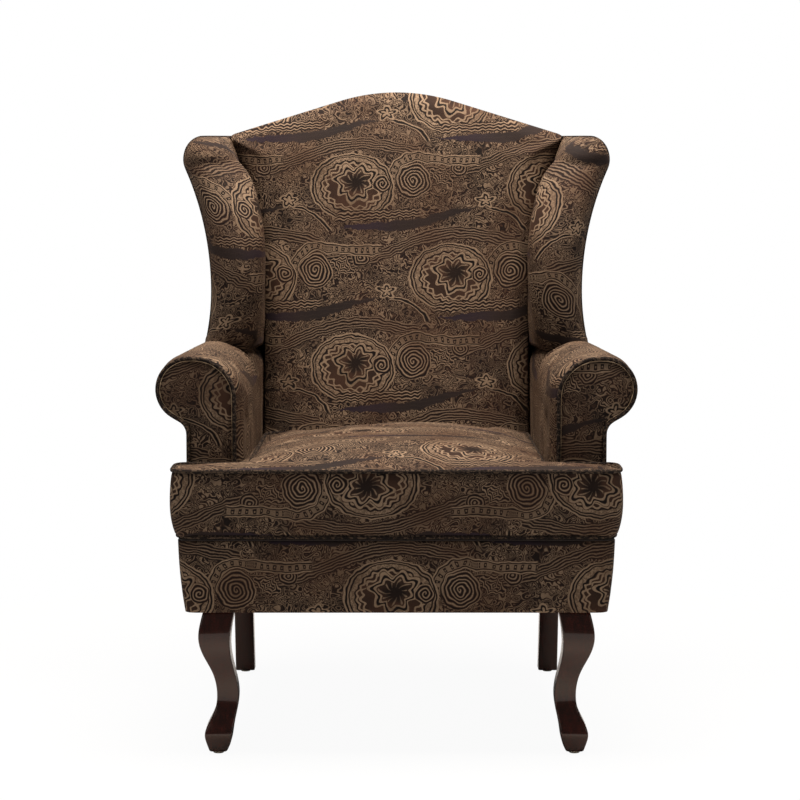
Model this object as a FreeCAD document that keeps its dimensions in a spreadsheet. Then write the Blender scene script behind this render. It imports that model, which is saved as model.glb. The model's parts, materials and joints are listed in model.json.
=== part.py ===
"""Wingback armchair with a loose T-shaped seat cushion.

A hardwood frame stands on two square cabriole front legs and two raked back legs. Sinuous springs
carry the seat deck and the tight back. Rolled arms end in a scroll-shaped facing at the front, and
a padded wing stands on each arm. The seat cushion is loose and pulls out towards the front.

Frame of the model: X to the right as the chair is seen from the front, Y to the back, Z up. The
origin is on the floor, in the middle of the chair. Millimetres. Left is the -X side.
"""

import FreeCAD
import Part
import Sketcher
import math
import os

V = FreeCAD.Vector
SIDES = (("left", -1.0), ("right", 1.0))

doc = FreeCAD.newDocument("wingback_armchair")
sheet = doc.addObject("Spreadsheet::Sheet", "Sizes")

# Driving sizes, in millimetres and degrees. One that follows others is a rule for the sheet.
SIZES = (
    # whole chair
    ("half_depth", 375.0),
    ("base_bottom", 230.0),
    ("base_top", 345.0),
    ("cover_thick", 2.0),
    ("fit_gap", 0.3),
    # seat base
    ("base_setback", 13.0),
    ("base_half_low", 329.5),
    ("base_half_high", 341.5),
    ("base_corner_radius", 16.0),
    ("apron_pad_thick", 7.4),
    ("rail_lift", 3.4),
    ("rail_height", 90.0),
    ("rail_thick", 22.0),
    ("rear_rail_setback", 24.2),
    ("rear_rail_y", "=back_foot_y - rear_rail_setback"),
    ("side_half_front", 330.0),
    ("side_half_rear", 296.0),
    ("dust_cover_thick", 1.2),
    ("corner_block_leg", 95.0),
    ("corner_block_height", 45.0),
    # springs
    ("spring_wire_radius", 1.9),
    ("spring_half_width", 26.0),
    ("spring_pitch", 28.0),
    ("seat_spring_spacing", 84.0),
    ("back_spring_spacing", 96.0),
    ("clip_width", 16.0),
    ("clip_depth", 12.0),
    ("clip_wall", 1.0),
    # arms
    ("arm_setback", 110.0),
    ("facing_board_thick", 18.0),
    ("arm_swell_depth", 37.0),
    ("arm_height", 619.0),
    ("arm_pad_rise", 5.0),
    ("arm_rear_height", 620.0),
    ("facing_inner", 257.0),
    ("arm_inner_front", 241.0),
    ("arm_inner_rear", 236.0),
    ("roll_centre_front", 329.5),
    ("roll_centre_rear", 290.0),
    ("facing_roll_radius", 49.0),
    ("arm_roll_radius", 51.0),
    ("rear_roll_radius", 36.0),
    ("facing_shoulder_radius", 63.0),
    ("arm_shoulder_radius", 66.0),
    ("rear_shoulder_radius", 48.0),
    ("roll_under_radius", 26.0),
    ("rear_under_radius", 14.0),
    ("arm_rail_width", 38.0),
    ("arm_rail_thick", 22.0),
    ("arm_rail_drop", 42.0),
    ("arm_post_depth", 40.0),
    ("welt_radius", 3.6),
    # back
    ("back_foot_reach", 102.2),
    ("back_foot_y", "=seat_depth - half_depth + back_foot_reach"),
    ("back_rake", 7.55),
    ("seat_depth", 540.0),
    ("seat_line", 460.0),
    ("inside_back_rake", 12.5),
    ("back_half_width", 235.4),
    ("back_flare_start", 680.0),
    ("back_flare_radius", 621.0),
    ("crest_height", 1045.0),
    ("crest_arc_radius", 320.0),
    ("crest_slope", 19.0),
    ("crest_corner_reach", 15.0),
    ("back_edge_round", 22.0),
    ("back_crown", 8.0),
    ("post_width", 28.0),
    ("post_depth", 40.0),
    ("back_rail_thick", 25.0),
    ("lower_rail_height", 40.0),
    ("lower_rail_level", 395.0),
    ("crest_rail_level", 900.0),
    ("crest_rail_inset", 34.0),
    # wings
    ("wing_top", 968.0),
    ("wing_dome_start", 922.0),
    ("wing_root", 585.0),
    ("wing_front_y", 8.0),
    ("wing_front_level", 725.0),
    ("wing_front_radius_low", 791.0),
    ("wing_front_radius_high", 335.0),
    ("wing_inner_x", 223.5),
    ("wing_inner_level", 765.0),
    ("wing_inner_radius_low", 735.0),
    ("wing_inner_radius_high", 355.0),
    ("wing_outer_x", 313.0),
    ("wing_outer_level", 710.0),
    ("wing_outer_radius_low", 377.0),
    ("wing_outer_radius_high", 460.0),
    ("wing_rear_thick_low", 62.0),
    ("wing_rear_thick_high", 38.0),
    ("wing_board_thick", 20.0),
    ("wing_board_inset", 34.0),
    # legs
    ("glide_height", 4.0),
    ("glide_radius", 9.0),
    ("glide_nail_radius", 1.3),
    ("glide_nail_length", 16.0),
    ("front_leg_diagonal", 45.0),
    ("rear_leg_inner", 258.0),
    ("rear_leg_top_width", 34.0),
    ("rear_leg_foot_width", 34.0),
    ("rear_leg_lap", 31.0),
    ("rear_leg_top_y", "=rear_rail_y - rear_leg_lap"),
    ("rear_leg_kick", 58.0),
    ("rear_leg_foot_y", "=rear_leg_top_y + rear_leg_kick"),
    ("leg_edge_round", 2.5),
    ("bolt_radius", 3.0),
    ("bolt_clearance", 0.1),
    ("bolt_in_leg", 52.0),
    ("bolt_inset", 10.0),
    ("washer_radius", 7.0),
    ("washer_thick", 1.6),
    ("nut_width", 10.0),
    ("nut_height", 5.0),
    # cushion
    ("cushion_gap", 0.4),
    ("cushion_setback", 3.2),
    ("cushion_thick", 114.0),
    ("cushion_ear_half", 345.0),
    ("cushion_ear_gap", 7.0),
    ("cushion_side_gap", 4.2),
    ("cushion_draw_in", 5.0),
    ("cushion_crown", 28.0),
    ("cushion_ear_crown", 11.0),
    ("cushion_back_gap", 15.5),
    ("cushion_corner_radius", 22.0),
    ("cushion_inner_radius", 10.0),
    # zipper
    ("zipper_length", 400.0),
    ("zipper_tape_width", 24.0),
    ("zipper_tape_thick", 0.8),
    ("zipper_coil_width", 5.0),
    ("zipper_coil_thick", 1.2),
    ("slider_length", 9.0),
    ("slider_thick", 2.4),
    ("slider_clearance", 0.3),
    ("pull_length", 18.0),
    ("pull_thick", 1.0),
)
for row, (alias, number) in enumerate(SIZES, start=1):
    sheet.set("A%d" % row, alias.replace("_", " "))
    sheet.setAlias("B%d" % row, alias)
for row, (alias, number) in enumerate(SIZES, start=1):
    sheet.set("B%d" % row, str(number))
doc.recompute()


def size(alias):
    """The number that the sheet holds under an alias."""
    return float(sheet.get(alias))


def blend(low, high, share):
    return low + (high - low) * share


def add_feature(label, shape):
    """A sub-part whose shape is worked out here from the sheet."""
    item = doc.addObject("Part::Feature", label)
    item.Shape = shape
    item.Label = label
    return item


def add_box(label, x, y, z, length, width, height):
    """A Part::Box whose corner and sizes are expressions on the sheet."""
    item = doc.addObject("Part::Box", label)
    item.Label = label
    for name, rule in (("Length", length), ("Width", width), ("Height", height)):
        item.setExpression(name, rule)
    for axis, rule in (("x", x), ("y", y), ("z", z)):
        item.setExpression("Placement.Base." + axis, rule)
    return item


def add_prism(label, plane, corners, thickness, base=("0", "0", "0")):
    """A body with one polygon sketch, each corner bound to the sheet, and one pad."""
    body = doc.addObject("PartDesign::Body", label)
    body.Label = label
    sketch = body.newObject("Sketcher::SketchObject", label + "_outline")
    origin_plane = [item for item in body.Origin.OriginFeatures if item.Role == plane][0]
    sketch.AttachmentSupport = [(origin_plane, "")]
    sketch.MapMode = "FlatFace"
    count = len(corners)
    for index in range(count):
        angle = 2.0 * math.pi * index / count
        after = 2.0 * math.pi * (index + 1) / count
        sketch.addGeometry(
            Part.LineSegment(
                V(100 * math.cos(angle), 100 * math.sin(angle), 0),
                V(100 * math.cos(after), 100 * math.sin(after), 0),
            ),
            False,
        )
    for index in range(count):
        following = (index + 1) % count
        sketch.addConstraint(Sketcher.Constraint("Coincident", index, 2, following, 1))
    for index, (across, up) in enumerate(corners):
        angle = 2.0 * math.pi * index / count
        for kind, start, rule in (
            ("DistanceX", 100 * math.cos(angle), across),
            ("DistanceY", 100 * math.sin(angle), up),
        ):
            number = sketch.addConstraint(Sketcher.Constraint(kind, -1, 1, index, 1, start))
            sketch.setExpression("Constraints[%d]" % number, rule)
    pad = body.newObject("PartDesign::Pad", label + "_pad")
    pad.Profile = sketch
    pad.setExpression("Length", thickness)
    for axis, rule in zip("xyz", base):
        body.setExpression("Placement.Base." + axis, rule)
    return body


def mirrored(shape, sign):
    """The right-hand shape, or its mirror image for the left side."""
    return shape if sign > 0 else shape.mirror(V(0, 0, 0), V(1, 0, 0))


def biggest(shape):
    """The largest solid of a boolean's result."""
    return max(shape.Solids, key=lambda solid: solid.Volume)


def line(start, end):
    return Part.LineSegment(start, end).toShape()


def arc_xz(y, centre_x, centre_z, radius, start, end):
    """An arc in a plane of constant Y. Angles in degrees, from +X towards +Z."""
    points = []
    for angle in (start, (start + end) / 2.0, end):
        turn = math.radians(angle)
        points.append(V(centre_x + radius * math.cos(turn), y, centre_z + radius * math.sin(turn)))
    return Part.Arc(*points).toShape()


def rounded_wire(corners, z):
    """A closed wire of lines and corner arcs in a plane of constant Z, from (x, y, radius) corners."""
    edges = []
    count = len(corners)
    ends = []
    for index, (x, y, radius) in enumerate(corners):
        here = V(x, y, z)
        before = V(corners[index - 1][0], corners[index - 1][1], z) - here
        after = V(corners[(index + 1) % count][0], corners[(index + 1) % count][1], z) - here
        half = before.getAngle(after) / 2.0
        reach = radius / math.tan(half)
        before.normalize()
        after.normalize()
        middle = before + after
        middle.normalize()
        centre = here + middle * (radius / math.sin(half))
        ends.append((here + before * reach, centre - middle * radius, here + after * reach))
    for index in range(count):
        first, middle, last = ends[index]
        edges.append(Part.Arc(first, middle, last).toShape())
        edges.append(line(last, ends[(index + 1) % count][0]))
    return Part.Wire(edges)


def loft(wires):
    return Part.makeLoft(wires, True, True)


def tube(path, start, along, radius):
    """A round bar along a wire of lines and arcs."""
    circle = Part.Wire([Part.Circle(start, along, radius).toShape()])
    return path.makePipe(Part.Face(circle))


# Levels and planes that several sub-parts share
gap = size("fit_gap")
cover = size("cover_thick")
sheet_gap = cover + gap
front_y = -size("half_depth")
base_front = front_y + size("base_setback")
rail_bottom = size("base_bottom") + size("rail_lift")
rail_top = rail_bottom + size("rail_height")
rail_front_y = base_front + cover + size("apron_pad_thick") + 2 * gap
facing_y = front_y + size("arm_setback")
arm_full_y = facing_y + size("arm_swell_depth")
arm_rear_y = size("back_foot_y") + 62.8
deck_cover_bottom = size("base_top") - cover
deck_pad_top = deck_cover_bottom - gap
spring_level = rail_top + size("spring_wire_radius") + gap
clip_top = spring_level + size("spring_wire_radius") + size("clip_wall")
rake = math.tan(math.radians(size("back_rake")))
inside_rake = math.tan(math.radians(size("inside_back_rake")))

RAIL_BOTTOM = "Sizes.base_bottom + Sizes.rail_lift"
RAIL_TOP = RAIL_BOTTOM + " + Sizes.rail_height"
RAIL_FRONT = (
    "-Sizes.half_depth + Sizes.base_setback + Sizes.cover_thick"
    " + Sizes.apron_pad_thick + 2 * Sizes.fit_gap"
)
RAIL_HALF = "(Sizes.base_half_low - Sizes.cover_thick - Sizes.apron_pad_thick - 2 * Sizes.fit_gap)"
rail_half = size("base_half_low") - cover - size("apron_pad_thick") - 2 * gap


def outside_back_y(z):
    """Y of the outside back's outer face at a height."""
    return size("back_foot_y") + (z - size("base_bottom")) * rake


def inside_back_y(z):
    """Y of the inside back's outer face at a height."""
    return front_y + size("seat_depth") + (z - size("seat_line")) * inside_rake


def side_half(y):
    """Half width of the chair's outer sides under the arms."""
    share = (y - facing_y) / (size("rear_rail_y") + size("rail_thick") - facing_y)
    return blend(size("side_half_front"), size("side_half_rear"), share)


# Slabs that trim a sub-part to the slanted planes of the back
SLAB_HALF = 600.0


def slab(front_rule, rear_rule, low, high):
    """Everything between two slanted planes, each given as Y for a height."""
    corners = [
        V(-SLAB_HALF, front_rule(low), low),
        V(-SLAB_HALF, rear_rule(low), low),
        V(-SLAB_HALF, rear_rule(high), high),
        V(-SLAB_HALF, front_rule(high), high),
    ]
    face = Part.Face(Part.makePolygon(corners + [corners[0]]))
    return face.extrude(V(2 * SLAB_HALF, 0, 0))


def in_front_of_back(setback):
    """The room in front of the outside back, less a setback."""
    return slab(lambda z: -2 * SLAB_HALF, lambda z: outside_back_y(z) - setback, 0.0, 2 * SLAB_HALF)


# Seat frame: four rails and four corner blocks
add_box(
    "front_seat_rail",
    "-" + RAIL_HALF,
    RAIL_FRONT,
    RAIL_BOTTOM,
    "2 * " + RAIL_HALF,
    "Sizes.rail_thick",
    "Sizes.rail_height",
)
REAR_HALF = "(Sizes.side_half_rear - Sizes.cover_thick - 5 * Sizes.fit_gap)"
add_box(
    "rear_seat_rail",
    "-" + REAR_HALF,
    "Sizes.rear_rail_y",
    RAIL_BOTTOM,
    "2 * " + REAR_HALF,
    "Sizes.rail_thick",
    "Sizes.rail_height",
)
SIDE_START = RAIL_FRONT + " + Sizes.rail_thick"
SIDE_FRONT = "min(Sizes.side_half_front - Sizes.cover_thick - Sizes.fit_gap; " + RAIL_HALF + ")"
for side, sign in SIDES:
    turn = "" if sign > 0 else "-1 * "
    add_prism(
        side + "_seat_rail",
        "XY_Plane",
        [
            (turn + "(" + SIDE_FRONT + " - Sizes.rail_thick)", SIDE_START),
            (turn + "(" + SIDE_FRONT + ")", SIDE_START),
            (turn + REAR_HALF, "Sizes.rear_rail_y"),
            (turn + "(" + REAR_HALF + " - Sizes.rail_thick)", "Sizes.rear_rail_y"),
        ],
        "Sizes.rail_height",
        ("0", "0", RAIL_BOTTOM),
    )

side_start = rail_front_y + size("rail_thick")
side_inner_front = min(size("side_half_front") - cover - gap, rail_half) - size("rail_thick")
side_inner_rear = size("side_half_rear") - cover - 5 * gap - size("rail_thick")


def side_inner(y):
    """X of the side rail's inner face."""
    share = (y - side_start) / (size("rear_rail_y") - side_start)
    return blend(side_inner_front, side_inner_rear, share)


# Legs. The front leg is one S outline, cut the same way seen from the front and from the side.
leg_top = rail_bottom
glide_height = size("glide_height")
# (height as a share of the leg, outer edge, inner edge), from the top down, as the leg is sawn
FRONT_LEG_OUTER = (
    (1.0, 301.5),
    (0.80, 310.0),
    (0.69, 305.0),
    (0.55, 290.0),
    (0.39, 283.0),
    (0.28, 286.0),
    (0.18, 297.5),
    (0.13, 301.5),
)
FRONT_LEG_INNER = (
    (1.0, 252.5),
    (0.80, 260.5),
    (0.69, 260.5),
    (0.55, 254.5),
    (0.39, 249.0),
    (0.28, 251.5),
    (0.18, 256.0),
    (0.13, 258.0),
)
FOOT_OUTER = 294.0
FOOT_INNER = 268.0
leg_length = leg_top - glide_height


def leg_outline():
    """The front leg's outline in the XZ plane, as a face."""
    outer = [V(x, 0, glide_height + share * leg_length) for share, x in FRONT_LEG_OUTER]
    inner = [V(x, 0, glide_height + share * leg_length) for share, x in FRONT_LEG_INNER]
    outer_curve = Part.BSplineCurve()
    outer_curve.interpolate(outer)
    inner_curve = Part.BSplineCurve()
    inner_curve.interpolate(inner)
    foot_outer = V(FOOT_OUTER, 0, glide_height)
    foot_inner = V(FOOT_INNER, 0, glide_height)
    edges = [
        outer_curve.toShape(),
        line(outer[-1], foot_outer),
        line(foot_outer, foot_inner),
        line(foot_inner, inner[-1]),
        inner_curve.toShape(),
        line(inner[0], outer[0]),
    ]
    return Part.Face(Part.Wire(Part.sortEdges(edges)[0]))


def drilled(leg, bolt_x, bolt_y, foot_x, foot_y):
    """A leg with its bolt hole at the top and its glide's nail hole at the foot."""
    bolt = Part.makeCylinder(
        size("bolt_radius") + size("bolt_clearance"),
        size("bolt_in_leg"),
        V(bolt_x, bolt_y, leg_top - size("bolt_in_leg")),
    )
    nail = Part.makeCylinder(
        size("glide_nail_radius") + size("bolt_clearance"),
        size("glide_nail_length"),
        V(foot_x, foot_y, glide_height),
    )
    return leg.cut(bolt).cut(nail)


front_view = leg_outline()
side_view = front_view.copy()
side_view.rotate(V(0, 0, 0), V(0, 0, 1), -90)
front_solid = front_view.extrude(V(0, -500, 0))
side_solid = side_view.extrude(V(500, 0, 0))
side_solid.translate(V(0, -size("front_leg_diagonal"), 0))
front_leg = biggest(front_solid.common(side_solid))
front_foot = V((FOOT_OUTER + FOOT_INNER) / 2, -(FOOT_OUTER + FOOT_INNER) / 2 - size("front_leg_diagonal"), 0)
front_bolt = V(
    side_inner(side_start) - size("bolt_inset") - size("bolt_radius"),
    side_start + size("bolt_inset") + size("bolt_radius"),
    0,
)

rear_inner = size("rear_leg_inner")
rear_top_width = size("rear_leg_top_width")
rear_foot_width = size("rear_leg_foot_width")


def leg_section(x, y, z, wide):
    radius = size("leg_edge_round")
    corners = [(x, y, radius), (x + wide, y, radius), (x + wide, y + wide, radius), (x, y + wide, radius)]
    return rounded_wire(corners, z)


rear_leg = loft(
    [
        leg_section(rear_inner, size("rear_leg_foot_y"), glide_height, rear_foot_width),
        leg_section(rear_inner, size("rear_leg_top_y"), leg_top, rear_top_width),
    ]
)
rear_foot = V(rear_inner + rear_foot_width / 2, size("rear_leg_foot_y") + rear_foot_width / 2, 0)
rear_bolt = V(
    rear_inner + size("bolt_radius") + 3.0,
    size("rear_leg_top_y") + size("bolt_radius") + 3.0,
    0,
)
for side, sign in SIDES:
    shaped = drilled(front_leg, front_bolt.x, front_bolt.y, front_foot.x, front_foot.y)
    add_feature("front_leg_" + side, mirrored(shaped, sign))
for side, sign in SIDES:
    shaped = drilled(rear_leg, rear_bolt.x, rear_bolt.y, rear_foot.x, rear_foot.y)
    add_feature("rear_leg_" + side, mirrored(shaped, sign))

# Corner blocks, one behind each rail joint, with the leg bolts through them
block_height = size("corner_block_height")
block_leg = size("corner_block_leg")


def corner_block(corner_y, toward, hole):
    """A triangular block in the corner between a cross rail and a side rail."""
    far_y = corner_y + toward * block_leg
    points = [
        V(side_inner(corner_y), corner_y, rail_bottom),
        V(side_inner(far_y), far_y, rail_bottom),
        V(side_inner(corner_y) - block_leg, corner_y, rail_bottom),
    ]
    block = Part.Face(Part.makePolygon(points + [points[0]])).extrude(V(0, 0, block_height))
    bore = Part.makeCylinder(
        size("bolt_radius") + size("bolt_clearance"), block_height, V(hole.x, hole.y, rail_bottom)
    )
    return block.cut(bore)


def leg_bolt(place):
    """A hanger bolt with its washer and nut on top of the corner block."""
    top = rail_bottom + block_height
    shank = Part.makeCylinder(
        size("bolt_radius"),
        size("bolt_in_leg") + block_height + size("nut_height") + size("washer_thick") + 4.0,
        V(place.x, place.y, leg_top - size("bolt_in_leg")),
    )
    washer = Part.makeCylinder(size("washer_radius"), size("washer_thick"), V(place.x, place.y, top))
    circle = size("nut_width") / math.sqrt(3.0)
    corners = [
        V(
            place.x + circle * math.cos(math.radians(60 * step)),
            place.y + circle * math.sin(math.radians(60 * step)),
            top + size("washer_thick"),
        )
        for step in range(6)
    ]
    nut = Part.Face(Part.makePolygon(corners + [corners[0]])).extrude(V(0, 0, size("nut_height")))
    return shank.fuse(washer).fuse(nut).removeSplitter()


def glide(place):
    """A round foot glide with its nail."""
    disc = Part.makeCylinder(size("glide_radius"), glide_height, V(place.x, place.y, 0))
    nail = Part.makeCylinder(
        size("glide_nail_radius"), size("glide_nail_length"), V(place.x, place.y, glide_height)
    )
    disc = disc.makeChamfer(1.2, [edge for edge in disc.Edges if edge.BoundBox.ZMax < 0.1])
    return disc.fuse(nail).removeSplitter()


blocks = [
    corner_block(side_start, 1.0, front_bolt),
    corner_block(size("rear_rail_y"), -1.0, rear_bolt),
]
bolts = [leg_bolt(front_bolt), leg_bolt(rear_bolt)]
glides = [glide(front_foot), glide(rear_foot)]


def both_sides(shapes):
    """The shapes and their mirror images, as one group of separate solids."""
    group = []
    for side, sign in SIDES:
        group += [mirrored(shape, sign) for shape in shapes]
    return Part.makeCompound(group)


add_feature("corner_blocks", both_sides(blocks))
add_feature("leg_bolts", both_sides(bolts))
add_feature("foot_glides", both_sides(glides))


# Sinuous springs: straight runs across, joined by half turns at the ends
def zigzag(length, start_run):
    """A zigzag wire in the XY plane, along +Y from the origin, swept as one wire."""
    half = size("spring_half_width")
    pitch = size("spring_pitch")
    radius = pitch / 2.0
    reach = half - radius
    turns = int(length // pitch)
    spare = (length - turns * pitch) / turns
    step = pitch + spare
    radius = step / 2.0
    edges = []
    x = -reach if start_run < 0 else reach
    y = 0.0
    for index in range(turns):
        toward = -1.0 if x > 0 else 1.0
        edges.append(line(V(x, y, 0), V(-x, y, 0)))
        x = -x
        edges.append(
            Part.Arc(V(x, y, 0), V(x + toward * radius, y + radius, 0), V(x, y + step, 0)).toShape()
        )
        y += step
    edges.append(line(V(x, y, 0), V(-x, y, 0)))
    path = Part.Wire(edges)
    start = V(-reach if start_run < 0 else reach, 0, 0)
    return tube(path, start, V(1, 0, 0), size("spring_wire_radius"))


seat_spring_start = rail_front_y + size("clip_depth")
seat_spring_end = size("rear_rail_y") + size("clip_depth")
spring_places = [-2, -1, 0, 1, 2]
seat_springs = []
clips = []


def clip(x, y):
    """A clip on a rail's top, bent over the end run of a spring."""
    block = Part.makeBox(
        size("clip_width"),
        size("clip_depth"),
        clip_top - rail_top - 0.1,
        V(x - size("clip_width") / 2, y - size("clip_depth") / 2, rail_top + 0.1),
    )
    groove = Part.makeCylinder(
        size("spring_wire_radius") + 0.2,
        size("clip_width") + 2,
        V(x - size("clip_width") / 2 - 1, y, spring_level),
        V(1, 0, 0),
    )
    slot = Part.makeBox(
        size("clip_width") + 2,
        2 * (size("spring_wire_radius") + 0.2),
        spring_level - rail_top,
        V(x - size("clip_width") / 2 - 1, y - size("spring_wire_radius") - 0.2, rail_top),
    )
    return block.cut(groove.fuse(slot))


for number in spring_places:
    x = number * size("seat_spring_spacing")
    coil = zigzag(seat_spring_end - seat_spring_start, 1 if number % 2 else -1)
    coil.translate(V(x, seat_spring_start, spring_level))
    seat_springs.append(coil)
    clips.append(clip(x, seat_spring_start))
    clips.append(clip(x, seat_spring_end))
add_feature("seat_springs", Part.makeCompound(seat_springs))
add_feature("spring_clips", Part.makeCompound(clips))

# Seat deck: a T-shaped pad over the springs and its cover
deck_half_front = rail_half
deck_half_rear = size("arm_inner_rear") - 1.0
deck_back = inside_back_y(size("base_top")) - 1.0
ear_back = facing_y - 1.0


def deck_outline(front_half, front_edge, z):
    corners = [
        (-front_half, front_edge, 12.0),
        (front_half, front_edge, 12.0),
        (front_half, ear_back, 4.0),
        (deck_half_rear, ear_back, 4.0),
        (deck_half_rear, deck_back, 6.0),
        (-deck_half_rear, deck_back, 6.0),
        (-deck_half_rear, ear_back, 4.0),
        (-front_half, ear_back, 4.0),
    ]
    return Part.Face(rounded_wire(corners, z))


deck_pad_bottom = clip_top + gap
add_feature(
    "deck_pad",
    deck_outline(deck_half_front - gap, rail_front_y, deck_pad_bottom).extrude(
        V(0, 0, deck_pad_top - deck_pad_bottom)
    ),
)
add_feature(
    "deck_cover",
    deck_outline(size("base_half_high") - 1.0, base_front + 1.0, deck_cover_bottom).extrude(
        V(0, 0, cover)
    ),
)


# Front apron: its cover runs round both front corners and ends at the arm facings
apron_top = deck_cover_bottom - gap
apron_end = facing_y - gap


def apron_block(inset, low, high, end_y):
    """The base's front part as one block, drawn in towards its bottom."""
    wires = []
    radius = size("base_corner_radius") - inset
    for z, half in ((low, size("base_half_low")), (high, size("base_half_high"))):
        corners = [
            (-half + inset, base_front + inset, radius),
            (half - inset, base_front + inset, radius),
            (half - inset, end_y + 40.0, 1.0),
            (-half + inset, end_y + 40.0, 1.0),
        ]
        wires.append(rounded_wire(corners, z))
    room = Part.makeBox(1000, 1000, 500, V(-500, end_y - 1000, 0))
    return loft(wires).common(room)


apron_cover = apron_block(0.0, size("base_bottom"), apron_top, apron_end)
apron_cover = apron_cover.cut(apron_block(cover, size("base_bottom"), apron_top, apron_end + 1.0))
add_feature("apron_cover", biggest(apron_cover))
skin = cover + gap
rail_room = Part.makeBox(
    2 * (rail_half + gap), 400, 300, V(-rail_half - gap, rail_front_y - gap, size("base_bottom") - 20.0)
)
apron_pad = apron_block(skin, size("base_bottom") + cover, apron_top, apron_end).cut(rail_room)
add_feature("apron_pad", biggest(apron_pad))

# Dust cover under the seat frame, cut out round the legs
dust_bottom = rail_bottom - size("dust_cover_thick") - 0.2
dust_points = [
    V(-rail_half, rail_front_y, dust_bottom),
    V(rail_half, rail_front_y, dust_bottom),
    V(side_inner_rear + size("rail_thick") - gap, size("rear_rail_y") + size("rail_thick"), dust_bottom),
    V(-side_inner_rear - size("rail_thick") + gap, size("rear_rail_y") + size("rail_thick"), dust_bottom),
]
dust_cover = Part.Face(Part.makePolygon(dust_points + [dust_points[0]])).extrude(
    V(0, 0, size("dust_cover_thick"))
)
for leg in (front_leg, rear_leg):
    box = leg.common(Part.makeBox(1000, 1000, 8.0, V(-500, -500, leg_top - 8.0))).BoundBox
    for side, sign in SIDES:
        opening = Part.makeBox(
            box.XLength + 2.0, box.YLength + 2.0, 20.0, V(box.XMin - 1.0, box.YMin - 1.0, dust_bottom - 10.0)
        )
        dust_cover = dust_cover.cut(mirrored(opening, sign))
add_feature("dust_cover", dust_cover)


# Arms
def arm_values(y):
    """The arm's section at a depth: inner face, top, roll centre, roll, shoulder and under radii."""
    facing = (
        size("facing_inner"),
        size("arm_height"),
        size("roll_centre_front"),
        size("facing_roll_radius"),
        size("facing_shoulder_radius"),
        size("roll_under_radius"),
    )
    full = (
        size("arm_inner_front"),
        size("arm_height") + size("arm_pad_rise"),
        size("roll_centre_front"),
        size("arm_roll_radius"),
        size("arm_shoulder_radius"),
        size("roll_under_radius"),
    )
    rear = (
        size("arm_inner_rear"),
        size("arm_rear_height"),
        size("roll_centre_rear"),
        size("rear_roll_radius"),
        size("rear_shoulder_radius"),
        size("rear_under_radius"),
    )
    if y <= arm_full_y:
        share = max((y - facing_y) / size("arm_swell_depth"), 0.0)
        swell = math.sqrt(max(1.0 - (1.0 - share) ** 2, 0.0))
        return [blend(a, b, swell) for a, b in zip(facing, full)]
    share = (y - arm_full_y) / (arm_rear_y - arm_full_y)
    return [blend(a, b, share) for a, b in zip(full, rear)]


ROLL_TURN = 60.0


def arm_section(y, inset, low, station=None):
    """The arm's closed section: inner face, shoulder, top, roll, and the neck under the roll."""
    inner, top, roll_x, roll, shoulder, under = arm_values(y if station is None else station)
    neck = side_half(y) - inset
    inner += inset
    top -= inset
    roll -= inset
    shoulder -= inset
    under += inset
    shoulder_x = inner + shoulder
    shoulder_z = top - shoulder
    roll_z = top - roll
    turn = math.radians(ROLL_TURN)
    leave = V(roll_x + roll * math.cos(turn), y, roll_z - roll * math.sin(turn))
    meet_x = neck + under * (1.0 - math.cos(turn))
    run = (leave.x - meet_x) / math.sin(turn)
    meet = V(meet_x, y, leave.z - run * math.cos(turn))
    under_z = meet.z - under * math.sin(turn)
    return Part.Wire(
        [
            line(V(inner, y, low), V(inner, y, shoulder_z)),
            arc_xz(y, shoulder_x, shoulder_z, shoulder, 180.0, 90.0),
            line(V(shoulder_x, y, top), V(roll_x, y, top)),
            arc_xz(y, roll_x, roll_z, roll, 90.0, -ROLL_TURN),
            line(leave, meet),
            arc_xz(y, neck + under, under_z, under, 180.0 - ROLL_TURN, 180.0),
            line(V(neck, y, under_z), V(neck, y, low)),
            line(V(neck, y, low), V(inner, y, low)),
        ]
    )


def neck_level(y):
    """Height at which the arm's outer face turns out into the roll."""
    section = arm_section(y, 0.0, rail_top + gap)
    return section.Edges[6].Vertexes[0].Z


arm_low = rail_top + gap
front_stations = [facing_y, facing_y + 5.0, facing_y + 16.0, arm_full_y]


def arm_body(inset, low, rear_setback, start_y):
    """The right arm's solid, from its facing to the slanted back."""
    solid = loft([arm_section(y, inset, low) for y in front_stations + [arm_rear_y]])
    room = slab(
        lambda z: start_y, lambda z: outside_back_y(z) - rear_setback, 0.0, 2 * SLAB_HALF
    )
    return biggest(solid.common(room))


arm_outer = arm_body(0.0, arm_low, sheet_gap, facing_y)
arm_envelope = loft(
    [arm_section(y, -gap, arm_low) for y in front_stations + [arm_rear_y]]
)
arm_inner = arm_body(cover, arm_low - 5.0, cover + sheet_gap, facing_y)
arm_cover = biggest(arm_outer.cut(arm_inner))

board_thick = size("facing_board_thick")
board_y = facing_y + gap
pad_y = board_y + board_thick + gap
arm_rail_top = size("arm_height") - size("arm_rail_drop")
arm_rail_low = arm_rail_top - size("arm_rail_thick")


def facing_face(y, inset, low):
    return Part.Face(arm_section(y, inset, low, facing_y))


facing_board = facing_face(board_y + board_thick, cover + gap + 1.0, arm_low).extrude(V(0, -board_thick, 0))
facing_cover_y = facing_y - cover - gap
facing_low = size("base_top") + gap
facing_cover = facing_face(facing_cover_y, 0.0, facing_low).extrude(V(0, cover, 0))


def facing_tube(radius):
    """The piping round the facing, from the inner foot over the roll to the outer foot."""
    section = arm_section(facing_y - gap, 0.0, facing_low, facing_y)
    path = Part.Wire(section.Edges[:7])
    start = section.Edges[0].Vertexes[0].Point
    return tube(path, start, V(0, 0, 1), radius)


welt_tube = facing_tube(size("welt_radius"))
welt_room = facing_tube(size("welt_radius") + 0.5 * gap)
facing_cover = biggest(facing_cover.cut(welt_room))
facing_board = biggest(facing_board.cut(welt_room))
arm_cover = biggest(arm_cover.cut(welt_room))

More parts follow.
